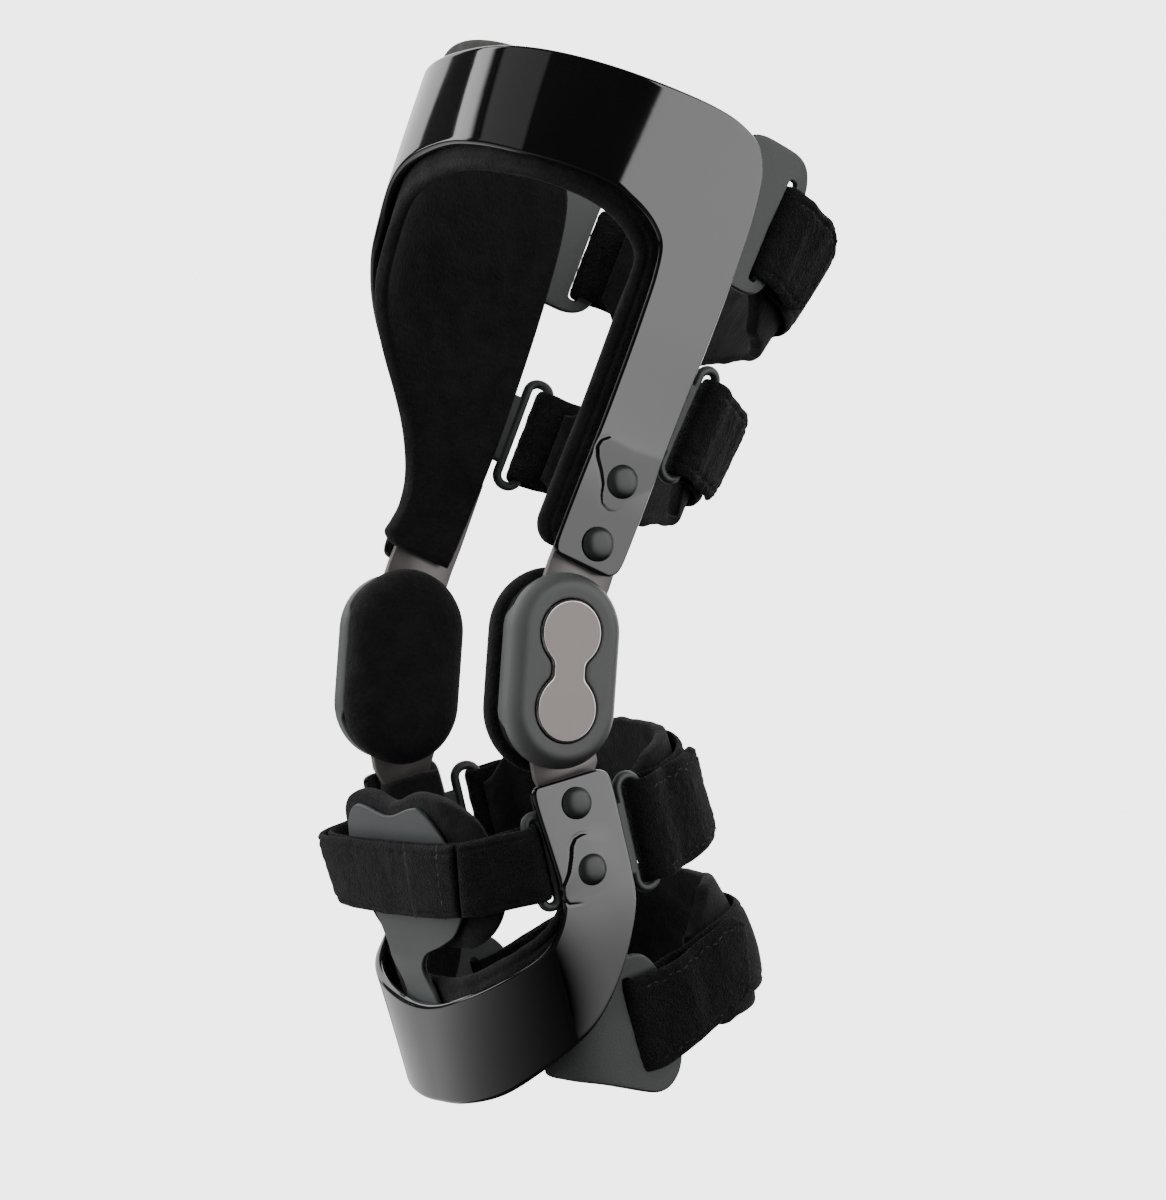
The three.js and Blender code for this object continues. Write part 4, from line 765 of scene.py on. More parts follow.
SEAM_PULL, SEAM_WIDTH = 0.34, 0.04
LUMP_RISE, LUMP_WAVE, FLAP_WAVES, SIDE_WAVES, BACK_WAVES = 0.9, 0.7, 60, 200, 220
FLAP_SCALE, ROLL_LENGTH, FLAP_FULL, HEM_FULL, BACK_FULL = 1.2, 3, 1.8, 0.2, 1.5


def waves(seed, along, across, size):
    """Gentle seeded waves over a band."""
    chance = np.random.default_rng(seed)
    total = np.zeros(np.broadcast(along, across).shape)
    for length in WAVE_LENGTHS:
        turn, lean = chance.uniform(0.8, 1.2), chance.uniform(-2.2, 2.2)
        start = chance.uniform(0, FULL_TURN)
        rise = np.sin(FULL_TURN * along / length * turn + lean * across + start)
        total = total + (length / WAVE_LENGTHS[0]) ** 0.8 * rise
    return size * total / 1.6


def strap_split(form, from_bar):
    """How far apart the middles of the two layers lie."""
    wide = 2 * (form["bar_half"] + 0.5) + STRAP_WALL
    return mix(wide, STRAP_WALL + 0.5, ease(form["bar_width"], form["bar_width"] + FOLD_ANGLE, from_bar))


def strap_middle(form, from_bar):
    """The depth half-way between the two layers."""
    settled = BACK_ANGLE - form["bar_angle"]
    return mix(form["bar_depth"], form["back_stand"], ease(form["bar_width"], settled, from_bar))


def strap_height(form, angle):
    """The height of a strap's middle line."""
    behind = ease(form["bar_angle"], form["bar_angle"] + BACK_TURN, angle)
    return mix(form["loop_height"], form["back_height"], behind)


# %% Build a band


class Band:
    """Collects the two faces of a strap, station by station."""

    def __init__(self, core):
        self.core, self.sections = core, CORES[core]["sections"]
        self.outer, self.inner = [], []
        round_edge = np.maximum(0.12, (1 - np.abs(PARTS) ** 9) ** 0.5)
        pulled_in = 1 - SEAM_PULL * np.exp(-((np.abs(PARTS) - SEAM_PLACE) / SEAM_WIDTH) ** 2)
        self.half, self.face = STRAP_WALL / 2 * round_edge, STRAP_WALL / 2 * round_edge * pulled_in

    def lay(self, angle, height, middle, face, thicker=1.0):
        away, near = self.face * thicker, self.half * np.minimum(1, thicker)
        outer, inner = (away, -near) if face > 0 else (-near, away)
        self.outer.append(core_points(self.sections, angle, height, middle + outer))
        self.inner.append(core_points(self.sections, angle, height, middle + inner))

    def turn(self, angle, height, depth, radius, ahead, steps, is_inward):
        centre = core_points(self.sections, angle, height, depth)
        out = core_points(self.sections, angle, height, depth + 1) - centre
        out /= np.linalg.norm(out, axis=1)[:, None]
        on = core_points(self.sections, angle + ahead, height, depth) - centre
        on /= np.linalg.norm(on, axis=1)[:, None]
        for step in range(1, steps):
            sweep = math.pi * (step / steps if is_inward else 1 - step / steps)
            way = out * math.cos(sweep) + on * math.sin(sweep)
            self.outer.append(centre + way * (radius + self.half)[:, None])
            self.inner.append(centre + way * (radius - self.half)[:, None])

    def mesh(self, name):
        outer, inner = np.array(self.outer), np.array(self.inner)
        nap = np.random.default_rng(len(outer)).normal(0, NAP, outer.shape[:2] + (1,))
        thick = outer - inner
        far = np.linalg.norm(thick, axis=2)[:, :, None]
        nap = nap + np.roll(nap, 1, 0) + np.roll(nap, 2, 0)
        nap = (nap + np.roll(nap, 1, 1)) / NAP_SUM * ease(0.8, 2.0, far)
        rings = np.concatenate([outer + thick / far * nap, inner[:, ::-1]], 1)
        return ring_mesh(name, placed(self.core, rings))


def strap_mesh(name, form, seed):
    band = Band(form["core"])
    bar = form["bar_angle"] - form["bar_slant"] * PARTS * form["half_width"]

    def height_at(angle, along):
        edge = waves(seed + 7, along, 0, 0.5) * np.sign(PARTS) * np.abs(PARTS) ** 3
        return strap_height(form, angle) + PARTS * form["half_width"] + edge

    def flap(sign, is_outward):
        for step in range(FLAP_STEPS + 1):
            t = step / FLAP_STEPS if is_outward else 1 - step / FLAP_STEPS
            angle = mix(bar, form["flap_end"], t)
            lump = (LUMP_RISE + waves(seed + sign, t * FLAP_WAVES, PARTS, LUMP_WAVE)) * ease(0.15, 0.6, t)
            middle = strap_middle(form, angle - bar) + strap_split(form, angle - bar) / 2 + lump
            to_tip = (1 - t) * (form["flap_end"] - form["bar_angle"]) * FLAP_SCALE
            rolled = math.sqrt(1 - (1 - min(1, (to_tip + 0.1) / ROLL_LENGTH)) ** 2)
            hem = (mix(1, FLAP_FULL, ease(0, 0.3, t)) + HEM_FULL * ease(0.66, 0.9, t)) * rolled
            to_end = max(0, FLAP_CORNER - to_tip)
            narrow = FLAP_CORNER - math.sqrt(FLAP_CORNER**2 - to_end**2)
            height = height_at(angle, t * FLAP_WAVES + sign * SIDE_WAVES) - PARTS * narrow
            band.lay(sign * angle, height, middle, 1, hem)

    def turn(sign, is_inward):
        radius = strap_split(form, 0) / 2
        height = height_at(bar, sign * SIDE_WAVES)
        band.turn(sign * bar, height, form["bar_depth"], radius, -2 * sign, TURN_STEPS, is_inward)

    flap(1, False)
    turn(1, True)
    for step in range(BACK_STEPS + 1):
        way = step / BACK_STEPS
        angle = mix(bar, 360 - bar, way)
        near = np.minimum(angle, 360 - angle)
        middle = strap_middle(form, near - bar) - strap_split(form, near - bar) / 2
        sign = np.where(angle <= 180, 1, -1)
        full = mix(1, BACK_FULL, ease(4, 16, float(np.min(near - bar))))
        band.lay(sign * near, height_at(near, way * BACK_WAVES), middle, -1, full)
    turn(-1, False)
    flap(-1, True)
    return band.mesh(name)


for seed, (name, form) in enumerate(STRAPS.items()):
    mesh = strap_mesh(f"{name}_band", form, 11 * seed + 3)
    settle(piece_from(mesh, LOOP_CLOTH), CORES[form["core"]]["body"], "strap", f"{name}_strap")

# %% [markdown]
# ## The strap over the tongue
# The front strap starts on itself at the outer loop, crosses the tongue, turns round the inner loop and
# comes back over the first layer, where it ends in a sewn hem that leans a little, close to where the
# strap began.

# %% Make the front strap
FRONT_STRAP = dict(height=-53, half_width=14, bar_angle=72.2, bar_depth=-5.3, flap_end=49, flap_slant=2.2,
                   stand=1.5, wire=1.8, first_gap=0.7, turn_steps=12, first_steps=24, cross_steps=100,
                   flap_steps=110, flap_full=1.3, hem_full=0.6, hem_angles=(23, 25), lean_angles=(0, 30))


def front_strap_mesh(name):
    form = FRONT_STRAP
    band = Band("shin")
    bar = form["bar_angle"]
    split = 2 * (form["wire"] + 0.4) + STRAP_WALL
    height = form["height"] + PARTS * form["half_width"]
    first_end = form["flap_end"] + form["first_gap"]

    def base(angle):
        return mix(form["stand"], form["bar_depth"] - split / 2, ease(50, bar, abs(angle)))

    def flap(start, end, steps):
        for step in range(steps + 1):
            angle = mix(start, end, step / steps)
            middle = base(angle) + mix(STRAP_WALL + 0.5, split, ease(bar - 12, bar, abs(angle)))
            lump = (0.3 + waves(5, angle, PARTS, 0.25)) * (1 - ease(bar - 14, bar - 4, abs(angle)))
            is_hem = ease(*form["hem_angles"], angle) if end == form["flap_end"] else 0
            hem = form["flap_full"] + form["hem_full"] * float(is_hem)
            rolled = math.sqrt(1 - (1 - min(1, (abs(angle - form["flap_end"]) + 0.1) / 2)) ** 2)
            leans = ease(*form["lean_angles"], angle) * (1 - ease(first_end, first_end + 11, angle))
            slant = form["flap_slant"] * PARTS * leans
            band.lay(angle + slant, height + waves(9, angle, 0, 0.3), middle + lump, 1, hem * rolled)

    flap(first_end, bar, form["first_steps"])
    band.turn(np.full_like(PARTS, bar), height, form["bar_depth"], split / 2, 2, form["turn_steps"], True)
    for step in range(form["cross_steps"] + 1):
        angle = mix(bar, -bar, step / form["cross_steps"])
        band.lay(angle + PARTS * 0, height, base(angle) + PARTS * 0, -1)
    band.turn(np.full_like(PARTS, -bar), height, form["bar_depth"], split / 2, -2, form["turn_steps"], False)
    flap(-bar, form["flap_end"], form["flap_steps"])
    return band.mesh(name)


settle(piece_from(front_strap_mesh("front_band"), LOOP_CLOTH), "shin_section", "strap", "tibial_strap")

# %% [markdown]
# ## Pads inside the straps
# Inside each strap lies a soft pad. A pad is sewn shut at its rim and full in between, and that is what
# cloth simulation shows best: the rim is pinned, air pressure pushes the faces out and the travel of
# each point is capped. The side towards the strap may only move a little, so that the two stay clear.

# %% Simulate a pad
PAD_WALL, PAD_EDGE, PAD_GAP, PAD_COLUMNS = 4.5, 1.9, 0.9, 22
PAD_PRESSURE, PLUMP_FRAMES = 2.0, 14
PAD_ROWS, PAD_TAPER, TAPER_ANGLE, PAD_WAVE, PAD_RIM, TONGUE_PAD_RIM = 91, 0.4, 14, 0.8, 0.12, 0.1
OUTER_SWELL, INNER_SWELL = 0.0004, 0.0018


def plumped(piece, cap, is_sewn):
    """Swell a closed mesh with cloth pressure. Sewn points stay; cap limits the travel of the others."""
    scene = bpy.context.scene
    before = np.array([v.co for v in piece.data.vertices])
    group = piece.vertex_groups.new(name="sewn")
    for index in np.flatnonzero(is_sewn):
        group.add([int(index)], 1.0, "REPLACE")
    cloth = piece.modifiers.new("plump", "CLOTH")
    cloth.settings.quality = 4
    cloth.settings.mass = 0.15
    cloth.settings.use_pressure = True
    cloth.settings.uniform_pressure_force = PAD_PRESSURE
    cloth.settings.tension_stiffness = 12
    cloth.settings.compression_stiffness = 12
    cloth.settings.bending_stiffness = 0.4
    cloth.settings.vertex_group_mass = "sewn"
    cloth.settings.effector_weights.gravity = 0
    cloth.point_cache.frame_start, cloth.point_cache.frame_end = 1, PLUMP_FRAMES
    for moment in range(1, PLUMP_FRAMES + 1):
        scene.frame_set(moment)
    swollen = piece.evaluated_get(bpy.context.evaluated_depsgraph_get())
    travel = np.array([v.co for v in swollen.data.vertices]) - before
    piece.modifiers.remove(cloth)
    scene.frame_set(1)
    far = np.linalg.norm(travel, axis=1)
    share = np.minimum(1, cap / np.maximum(far, 1e-9))
    after = before + travel * share[:, None]
    piece.data.vertices.foreach_set("co", after.ravel())
    piece.data.update()
    piece.vertex_groups.clear()
    print(piece.name, "swelled by up to", round(float((far * share).max()) / MM, 2), "mm")


def rim_of(pad, columns, share):
    """Which points of a pad lie on its outer face, and which on the rim along its long edges."""
    around = ring_size(columns)
    spot = np.arange(len(pad.data.vertices)) % around
    across = np.minimum(spot, around - 1 - spot) / (around // 2 - 1)
    return spot < around // 2, (across < share) | (across > 1 - share)


def strap_pad(name, form):
    spots = np.linspace(0, 10, PAD_ROWS)
    turn = mix(180 - form["pad_reach"], 180 + form["pad_reach"], spots / 10)
    near = np.minimum(turn, 360 - turn)
    middle = strap_height(form, near)
    pad_end = 180 - form["pad_reach"]
    taper = 1 - PAD_TAPER * (1 - ease(pad_end, pad_end + TAPER_ANGLE, near))
    top = np.stack([turn, middle + form["pad_top"] * taper + waves(4, spots * 20, 0, PAD_WAVE)], 1)
    low = np.stack([turn, middle - form["pad_bottom"] * taper + waves(8, spots * 20, 0, PAD_WAVE)], 1)

    def depth(angle, height):
        from_bar = np.minimum(angle, 360 - angle) - form["bar_angle"] - 2
        return strap_middle(form, from_bar) - strap_split(form, from_bar) / 2 - STRAP_WALL / 2 - PAD_GAP

    return wall(name, form["core"], top, low, PAD_WALL, PAD_EDGE, depth, columns=PAD_COLUMNS)


# %% Make the strap pads
for name, form in STRAPS.items():
    pad = piece_from(strap_pad(f"{name}_cushion", form), PAD_FACE)
    is_outer, is_rim = rim_of(pad, PAD_COLUMNS, PAD_RIM)
    plumped(pad, np.where(is_outer, OUTER_SWELL, INNER_SWELL), is_rim)
    settle(pad, CORES[form["core"]]["body"], "foam", f"{name}_pad")

# %% [markdown]
# ## The pad behind the tongue
# Behind the grey tongue lies a thicker black pad that shows all round it. It is one more wall on the
# tongue's own kind of table, tucked in at its sides, and the same cloth pressure rounds its faces.

# %% Make the tongue pad
TONGUE_PAD = (
    # height, left, right
    (-26, -32, 44), (-28, -40, 50), (-32, -46, 56), (-38, -50, 59.5), (-50, -52, 62), (-62, -50, 62),
    (-70, -45, 59.5), (-76, -38, 55), (-80, -30, 49), (-82.5, -22, 42),
)
TONGUE_PAD_WALL, TONGUE_PAD_EDGE, TONGUE_PAD_COLUMNS, SEWN_ROWS = 6.0, 2.6, 44, 16
PAD_DEPTHS, PAD_HEIGHTS, PAD_TUCK, TUCK_ANGLES = (-6.6, -3.1), (-84, -76), 3.4, (42, 60)
TONGUE_OUTER_SWELL, TONGUE_INNER_SWELL = 0.0003, 0.002


def tongue_pad_depth(angle, height):
    return mix(*PAD_DEPTHS, ease(*PAD_HEIGHTS, height)) - PAD_TUCK * ease(*TUCK_ANGLES, np.abs(angle))


left, right = plate_rows(TONGUE_PAD, 8)
mesh = wall("shin_tongue_pad", "shin", left, right, TONGUE_PAD_WALL, TONGUE_PAD_EDGE, tongue_pad_depth,
            columns=TONGUE_PAD_COLUMNS, lift=tongue_lift)
tongue_pad = piece_from(mesh, PAD_FACE)
is_outer, is_rim = rim_of(tongue_pad, TONGUE_PAD_COLUMNS, TONGUE_PAD_RIM)
row = np.arange(len(mesh.vertices)) // ring_size(TONGUE_PAD_COLUMNS)
is_rim |= (row < SEWN_ROWS) | (row > row.max() - SEWN_ROWS)
plumped(tongue_pad, np.where(is_outer, TONGUE_OUTER_SWELL, TONGUE_INNER_SWELL), is_rim)
settle(tongue_pad, "shin_section", "foam", "tibial_pad")

# %% [markdown]
# ## The strap loops
# The loops are moulded rings. Each is one closed line on the core with a round section swept along it,
# which is what Curve to Mesh does in Geometry Nodes: the wire radius is an input, so one tree serves
# all of them.

# %% Sweep tree
def group_tree(name, sizes):
    tree = bpy.data.node_groups.new(name, "GeometryNodeTree")
    tree.interface.new_socket("Geometry", in_out="INPUT", socket_type="NodeSocketGeometry")
    tree.interface.new_socket("Geometry", in_out="OUTPUT", socket_type="NodeSocketGeometry")
    keys = {}
    for size, value in sizes.items():
        socket = tree.interface.new_socket(size, in_out="INPUT", socket_type="NodeSocketFloat")
        socket.default_value = value
        keys[size] = socket.identifier
    return tree, tree.nodes.new("NodeGroupInput"), tree.nodes.new("NodeGroupOutput"), keys


def sweep_tree(material):
    tree, start, end, keys = group_tree("wire_loop", {"Wire radius": 0.002})
    line = node(tree, "GeometryNodeMeshToCurve")
    section = node(tree, "GeometryNodeCurvePrimitiveCircle", [("Resolution", 16)])
    sweep = node(tree, "GeometryNodeCurveToMesh")
    real = node(tree, "GeometryNodeRealizeInstances")
    paint = node(tree, "GeometryNodeSetMaterial", [("Material", material)])
    tree.links.new(start.outputs["Geometry"], line.inputs["Mesh"])
    tree.links.new(start.outputs["Wire radius"], section.inputs["Radius"])
    tree.links.new(line.outputs["Curve"], sweep.inputs["Curve"])
    tree.links.new(section.outputs["Curve"], sweep.inputs["Profile Curve"])
    tree.links.new(sweep.outputs["Mesh"], real.inputs["Geometry"])
    tree.links.new(real.outputs["Geometry"], paint.inputs["Geometry"])
    tree.links.new(paint.outputs["Geometry"], end.inputs["Geometry"])
    return tree, keys


def grown(name, points, edges, tree, keys, sizes, layers=()):
    """Run a tree on points and lines and keep the result as a plain mesh."""
    seedling = bpy.data.meshes.new(name + "_line")
    seedling.from_pydata([tuple(p) for p in points], edges, [])
    for key, values in layers:
        layer = seedling.attributes.new(key, "FLOAT_VECTOR", "POINT")
        layer.data.foreach_set("vector", np.asarray(values, np.float32).ravel())
    maker = piece_from(seedling, name=name + "_maker")
    grow = maker.modifiers.new("grow", "NODES")
    grow.node_group = tree
    for size, value in sizes.items():
        grow[keys[size]] = value
    shaped = maker.evaluated_get(bpy.context.evaluated_depsgraph_get())
    mesh = bpy.data.meshes.new_from_object(shaped)
    mesh.name = name
    maker.modifiers.remove(grow)
    bpy.data.objects.remove(maker)
    return mesh


# %% Make the loops
LOOPS = {
    # core, front angle, back angle, top, bottom, depth, wire, then angle, top and bottom of the root
    "thigh_loop": ("thigh", 102.6, 110, 113.8, 70.4, -5.6, 1.8, 93.5, 106, 78),
    "calf_loop": ("shin", 105.4, 113, -31.8, -74.2, -5.6, 1.8, 96.4, -40, -68),
    "tibial_loop": ("shin", 72.2, 77.3, -36, -70, -5.3, 1.8, None, None, None),
}
LOOP_CORNER, LOOP_POINTS = 6.0, 120
ROOT_WALL, ROOT_EDGE, ROOT_ROWS = 2.6, 0.8, 40
loop_tree, loop_keys = sweep_tree(GREY_PLASTIC)


def loop_line(core, front, back, top, bottom, depth):
    """A rectangle with rounded corners, bent onto the core."""
    sections = CORES[core]["sections"]
    middle = (top + bottom) / 2
    ends = core_points(sections, np.array([front, back]), middle, depth)
    per_degree = np.linalg.norm(ends[0] - ends[1]) / (back - front)
    half_wide, half_high = (back - front) / 2 * per_degree, (top - bottom) / 2
    corner = min(LOOP_CORNER, half_wide - 0.2)
    line = []
    for side, level, start in ((1, 1, 0), (-1, 1, 90), (-1, -1, 180), (1, -1, 270)):
        for turn in np.radians(np.linspace(start, start + 90, 12)):
            line.append((side * (half_wide - corner) + corner * math.cos(turn),
                         level * (half_high - corner) + corner * math.sin(turn)))
    line = even(np.array(line), LOOP_POINTS)
    return on_core(core, (front + back) / 2 + line[:, 0] / per_degree, middle + line[:, 1], depth)


for name, (core, front, back, top, bottom, depth, wire, root, root_top, root_low) in LOOPS.items():
    points = loop_line(core, front, back, top, bottom, depth)
    edges = [(k, (k + 1) % len(points)) for k in range(len(points))]
    parts = [grown(f"{name}_ring", points, edges, loop_tree, loop_keys, {"Wire radius": wire * MM})]
    if root is not None:
        level = np.linspace(root_top, root_low, ROOT_ROWS)
        parts.append(wall(f"{name}_root", core, np.stack([np.full(ROOT_ROWS, root), level], 1),
                          np.stack([np.full(ROOT_ROWS, front), level], 1), ROOT_WALL, ROOT_EDGE,
                          lambda angle, height: np.full_like(angle, UNDER_SHELL - 0.1), columns=8))
    ring = joined(f"{name}_ring_lateral", parts)
    ring.materials.clear()
    settle_pair(ring, f"{name}_ring", GREY_PLASTIC, 2 * [CORES[core]["body"]], "plastic", name)

# %% [markdown]
# ## The hinge
# On each side sits a rounded housing with a plate in the form of an eight let into it. Both are
# outlines in the side view, stacked outwards in rings: the outline of the housing shrinks over its
# shoulder, turns into the eight at the mouth of the pocket and goes down to the pocket's floor.

# %% Outlines of the hinge
COVER_RADIUS, COVER_FACE, COVER_SIDE, CROWN_RADIUS = 22.0, 77.5, 72.0, 16.2
LOBE_RADIUS, LOBE_WAIST, WAIST_SOFT = 12.2, 6.4, 2.4
HALF_COUNT = 96
HINGES = [f"{side}_hinge" for side in SIDES]


def half_line(points):
    """Right half of an outline, bottom to top, in equal steps."""
    run = np.concatenate([[0], np.cumsum(np.linalg.norm(np.diff(points, axis=0), axis=1))])
    spots = (np.arange(HALF_COUNT) + 0.5) / HALF_COUNT * run[-1]
    return np.stack([np.interp(spots, run, points[:, 0]), np.interp(spots, run, points[:, 1])], 1)


def whole(right):
    return np.vstack([right, right[::-1] * (-1, 1)])


def stadium(radius):
    turn = np.radians(np.linspace(-90, 90, 181))
    height = radius * np.sin(turn) + np.sign(turn) * PIVOT
    return whole(half_line(np.stack([radius * np.cos(turn), height], 1)))


def eight(lobe):
    height = (PIVOT + lobe) * np.sin(np.radians(np.linspace(-90, 90, 721)))
    away = np.abs(height) - PIVOT
    circle = np.sqrt(np.maximum(0, lobe**2 - away**2))
    waist = LOBE_WAIST + lobe - LOBE_RADIUS
    soft = WAIST_SOFT * (1 - np.abs(height) / PIVOT)
    inner = (circle + waist + np.sqrt((circle - waist) ** 2 + soft**2)) / 2
    return whole(half_line(np.stack([np.where(away >= 0, circle, inner), height], 1)))


def stacked(name, levels):
    """Rings of (x, outline) on the outer side."""
    rings = np.array([np.column_stack([np.broadcast_to(x, len(line)), line]) for x, line in levels])
    return ring_mesh(name, placed("hinge", rings))


# %% Make the housings
BAR_INNER, BAR_OUTER = 65.5, 68.5
FRONT_WALL_END, BACK_WALL_END = (23, 18), (10.5, 6.5)
rim = stadium(COVER_RADIUS)
reach = np.abs(rim[:, 1])
has_wall = np.where(rim[:, 0] < 0, ease(*FRONT_WALL_END, reach), ease(*BACK_WALL_END, reach))
skirt = mix(BAR_OUTER + 0.3, BAR_INNER, has_wall)
levels = [(skirt, stadium(COVER_RADIUS - 3)), (skirt, stadium(COVER_RADIUS - 0.5)), (skirt + 0.5, rim)]
levels += [(x, rim) for x in np.linspace(BAR_OUTER + 1, COVER_SIDE, 4)]
for turn in np.radians(np.linspace(8, 90, 14)):
    shoulder = CROWN_RADIUS + (COVER_RADIUS - CROWN_RADIUS) * math.cos(turn)
    levels.append((COVER_SIDE + (COVER_FACE - COVER_SIDE) * math.sin(turn), stadium(shoulder)))
mouth = eight(LOBE_RADIUS + 0.75)
for t in (0.25, 0.5, 0.75, 1):
    levels.append((COVER_FACE - 0.15 * t, mix(stadium(CROWN_RADIUS), mouth, t)))
levels += [(COVER_FACE - 0.3, eight(LOBE_RADIUS + 0.5)), (COVER_FACE - 0.6, eight(LOBE_RADIUS + 0.4)),
           (COVER_FACE - 1.0, eight(LOBE_RADIUS + 0.4))]
cover = stacked("hinge_housing_lateral", levels)
settle_pair(cover, "hinge_housing", COVER_PAINT, HINGES, "cover", "hinge_cover")

# %% [markdown]
# The plate in the form of an eight has a bright cut edge: the chamfer is a band of faces of its own, so
# it takes a second finish.

# %% Make the eight-shaped plates
EIGHT_STEPS = ((-0.7, 0), (0.05, 0), (0.25, 0.06), (0.62, 0.5), (0.7, 0.75), (0.7, 1.2))
plate = stacked("eight_plate_lateral", [(COVER_FACE + rise, eight(LOBE_RADIUS - inset))
                                        for rise, inset in EIGHT_STEPS])
plate.materials.append(INSERT_METAL)
plate.materials.append(CUT_EDGE)
around = 2 * HALF_COUNT
for face in plate.polygons:
    level = min(face.vertices) // around
    is_chamfer = 1 <= level <= 3 and max(face.vertices) // around != level
    face.material_index = int(is_chamfer)
settle_pair(plate, "eight_plate", None, HINGES, "insert", "hinge_insert")

# %% [markdown]
# ## The hinge bars
# A flat metal bar goes from each pivot under the shell. Only its neck shows between housing and shell.
# It is an outline with a small round on both faces. The plate behind the housing keeps its solid and
# is coloured near black, painted shade for the dark gap between housing and pad.

# %% Make the bars
# front half, back half, distance from the pivot
UPPER_BAR = ((13.4, 12.4, 12), (14, 12.4, 23), (14, 12, 30), (14, 12, 40), (13, 11, 67), (11, 9, 69))
LOWER_BAR = ((13.4, 12.4, 12), (14, 12.4, 23), (12, 8, 30), (10, 6.4, 40), (9, 6.4, 64), (7, 4.4, 66))
BAR_END = 12.6
BAR_ROUND = ((0, 0.985), (0.15, 0.995), (0.45, 1))


def bar_mesh(name, core, rows, sign):
    turn = np.radians(np.linspace(-86, 0, 24))
    half = BAR_END * np.cos(turn)
    away = np.concatenate([BAR_END * np.sin(turn), [row[2] for row in rows]])
    front = np.concatenate([half, [row[0] for row in rows]])
    back = np.concatenate([half, [row[1] for row in rows]])
    right = half_line(np.stack([back, away], 1))
    left = half_line(np.stack([-front, away], 1))
    outline = np.vstack([right, left[::-1]]) * (1, sign)
    middle = outline.mean(0)
    levels = [(BAR_INNER + rise, shrink) for rise, shrink in BAR_ROUND]
    levels += [(BAR_OUTER - rise, shrink) for rise, shrink in BAR_ROUND[::-1]]
    rings = []
    for x, shrink in levels:
        line = middle + (outline - middle) * (shrink, 1 - (1 - shrink) * 0.4)
        rings.append(np.column_stack([np.full(len(line), x), line]))
    return ring_mesh(name, placed(core, np.array(rings)))


for name, core, rows, sign in (("upper_bar", "thigh", UPPER_BAR, 1), ("lower_bar", "shin", LOWER_BAR, -1)):
    bar = bar_mesh(f"{name}_strip_lateral", core, rows, sign)
    settle_pair(bar, f"{name}_strip", BAR_METAL, 2 * [CORES[core]["body"]], "bar", name)
# The hinge plates take the near-black colour, painted shade for the gap between housing and pad.
for side in SIDES:
    solid = nodes[f"hinge_plate_{side}"]
    solid.data.materials.clear()
    solid.data.materials.append(PLATE_PAINTED_SHADE)

# %% [markdown]
# ## The pads inside the hinges
# A soft pad lies inside each hinge. It is a stack of the housing's outline with a round rim, and the
# same cloth pressure as before gives its faces their crown.

# %% Make the knee pads
HINGE_PLATE_WALL, CLEARANCE = 2.5, 0.3
KNEE_PAD_OUTER = BAR_INNER - CLEARANCE - HINGE_PLATE_WALL - CLEARANCE
KNEE_PAD = (
    # way inward, radius
    (0, 14), (0, 19.5), (0.1, 22), (0.6, 23.2), (1.6, 23.9), (3.2, 24), (5, 23.6), (6.8, 22.8),
    (8.4, 21), (9.5, 18.6), (10.2, 15.6), (10.5, 12.5), (10.5, 9.5), (10.5, 6.5), (10.5, 3.5),
    (10.5, 1),
)
KNEE_PAD_SEWN, KNEE_PAD_SWELL = 6, 0.0016


def knee_pad_mesh(name):
    return stacked(name, [(KNEE_PAD_OUTER - inward, stadium(radius)) for inward, radius in KNEE_PAD])


for side in SIDES:
    mesh = knee_pad_mesh(f"knee_cushion_{side}")
    mesh = mesh if side == "lateral" else mirrored(mesh, f"knee_cushion_{side}")
    pad = piece_from(mesh, PAD_FACE, f"knee_cushion_{side}")
    level = np.arange(len(mesh.vertices)) // (2 * HALF_COUNT)
    plumped(pad, np.full(len(level), KNEE_PAD_SWELL), level <= KNEE_PAD_SEWN)
    settle(pad, f"{side}_hinge", "foam", f"condyle_pad_{side}")

# %% [markdown]
# ## Rivets
# Two domed rivets hold each bar in its upright. They repeat, so Geometry Nodes set one turned head on a
# point for each rivet and turn it to the direction stored there.

# %% Rivet tree
RIVET_RADIUS, RIVET_RISE, RIVET_SPIN = 6.4, 2.8, 40


def rivet_head():
    """A domed head turned round its axis: a short side, a round shoulder and a flat crown."""
    turn = np.radians(np.linspace(0, 88, 12))
    dome = 0.6 + (RIVET_RADIUS - 0.8) * np.cos(turn)
    radius = np.concatenate([[RIVET_RADIUS - 0.2, RIVET_RADIUS], dome, [0.2]])
    level = np.concatenate([[0, 0.3], 0.5 + (RIVET_RISE - 0.5) * np.sin(turn), [RIVET_RISE]])
    spin = np.radians(np.arange(RIVET_SPIN) * 360 / RIVET_SPIN)
    rings = np.stack([radius[:, None] * np.cos(spin), radius[:, None] * np.sin(spin),
                      np.broadcast_to(level[:, None], (len(level), RIVET_SPIN))], -1)
    return ring_mesh("rivet_head", rings * MM)


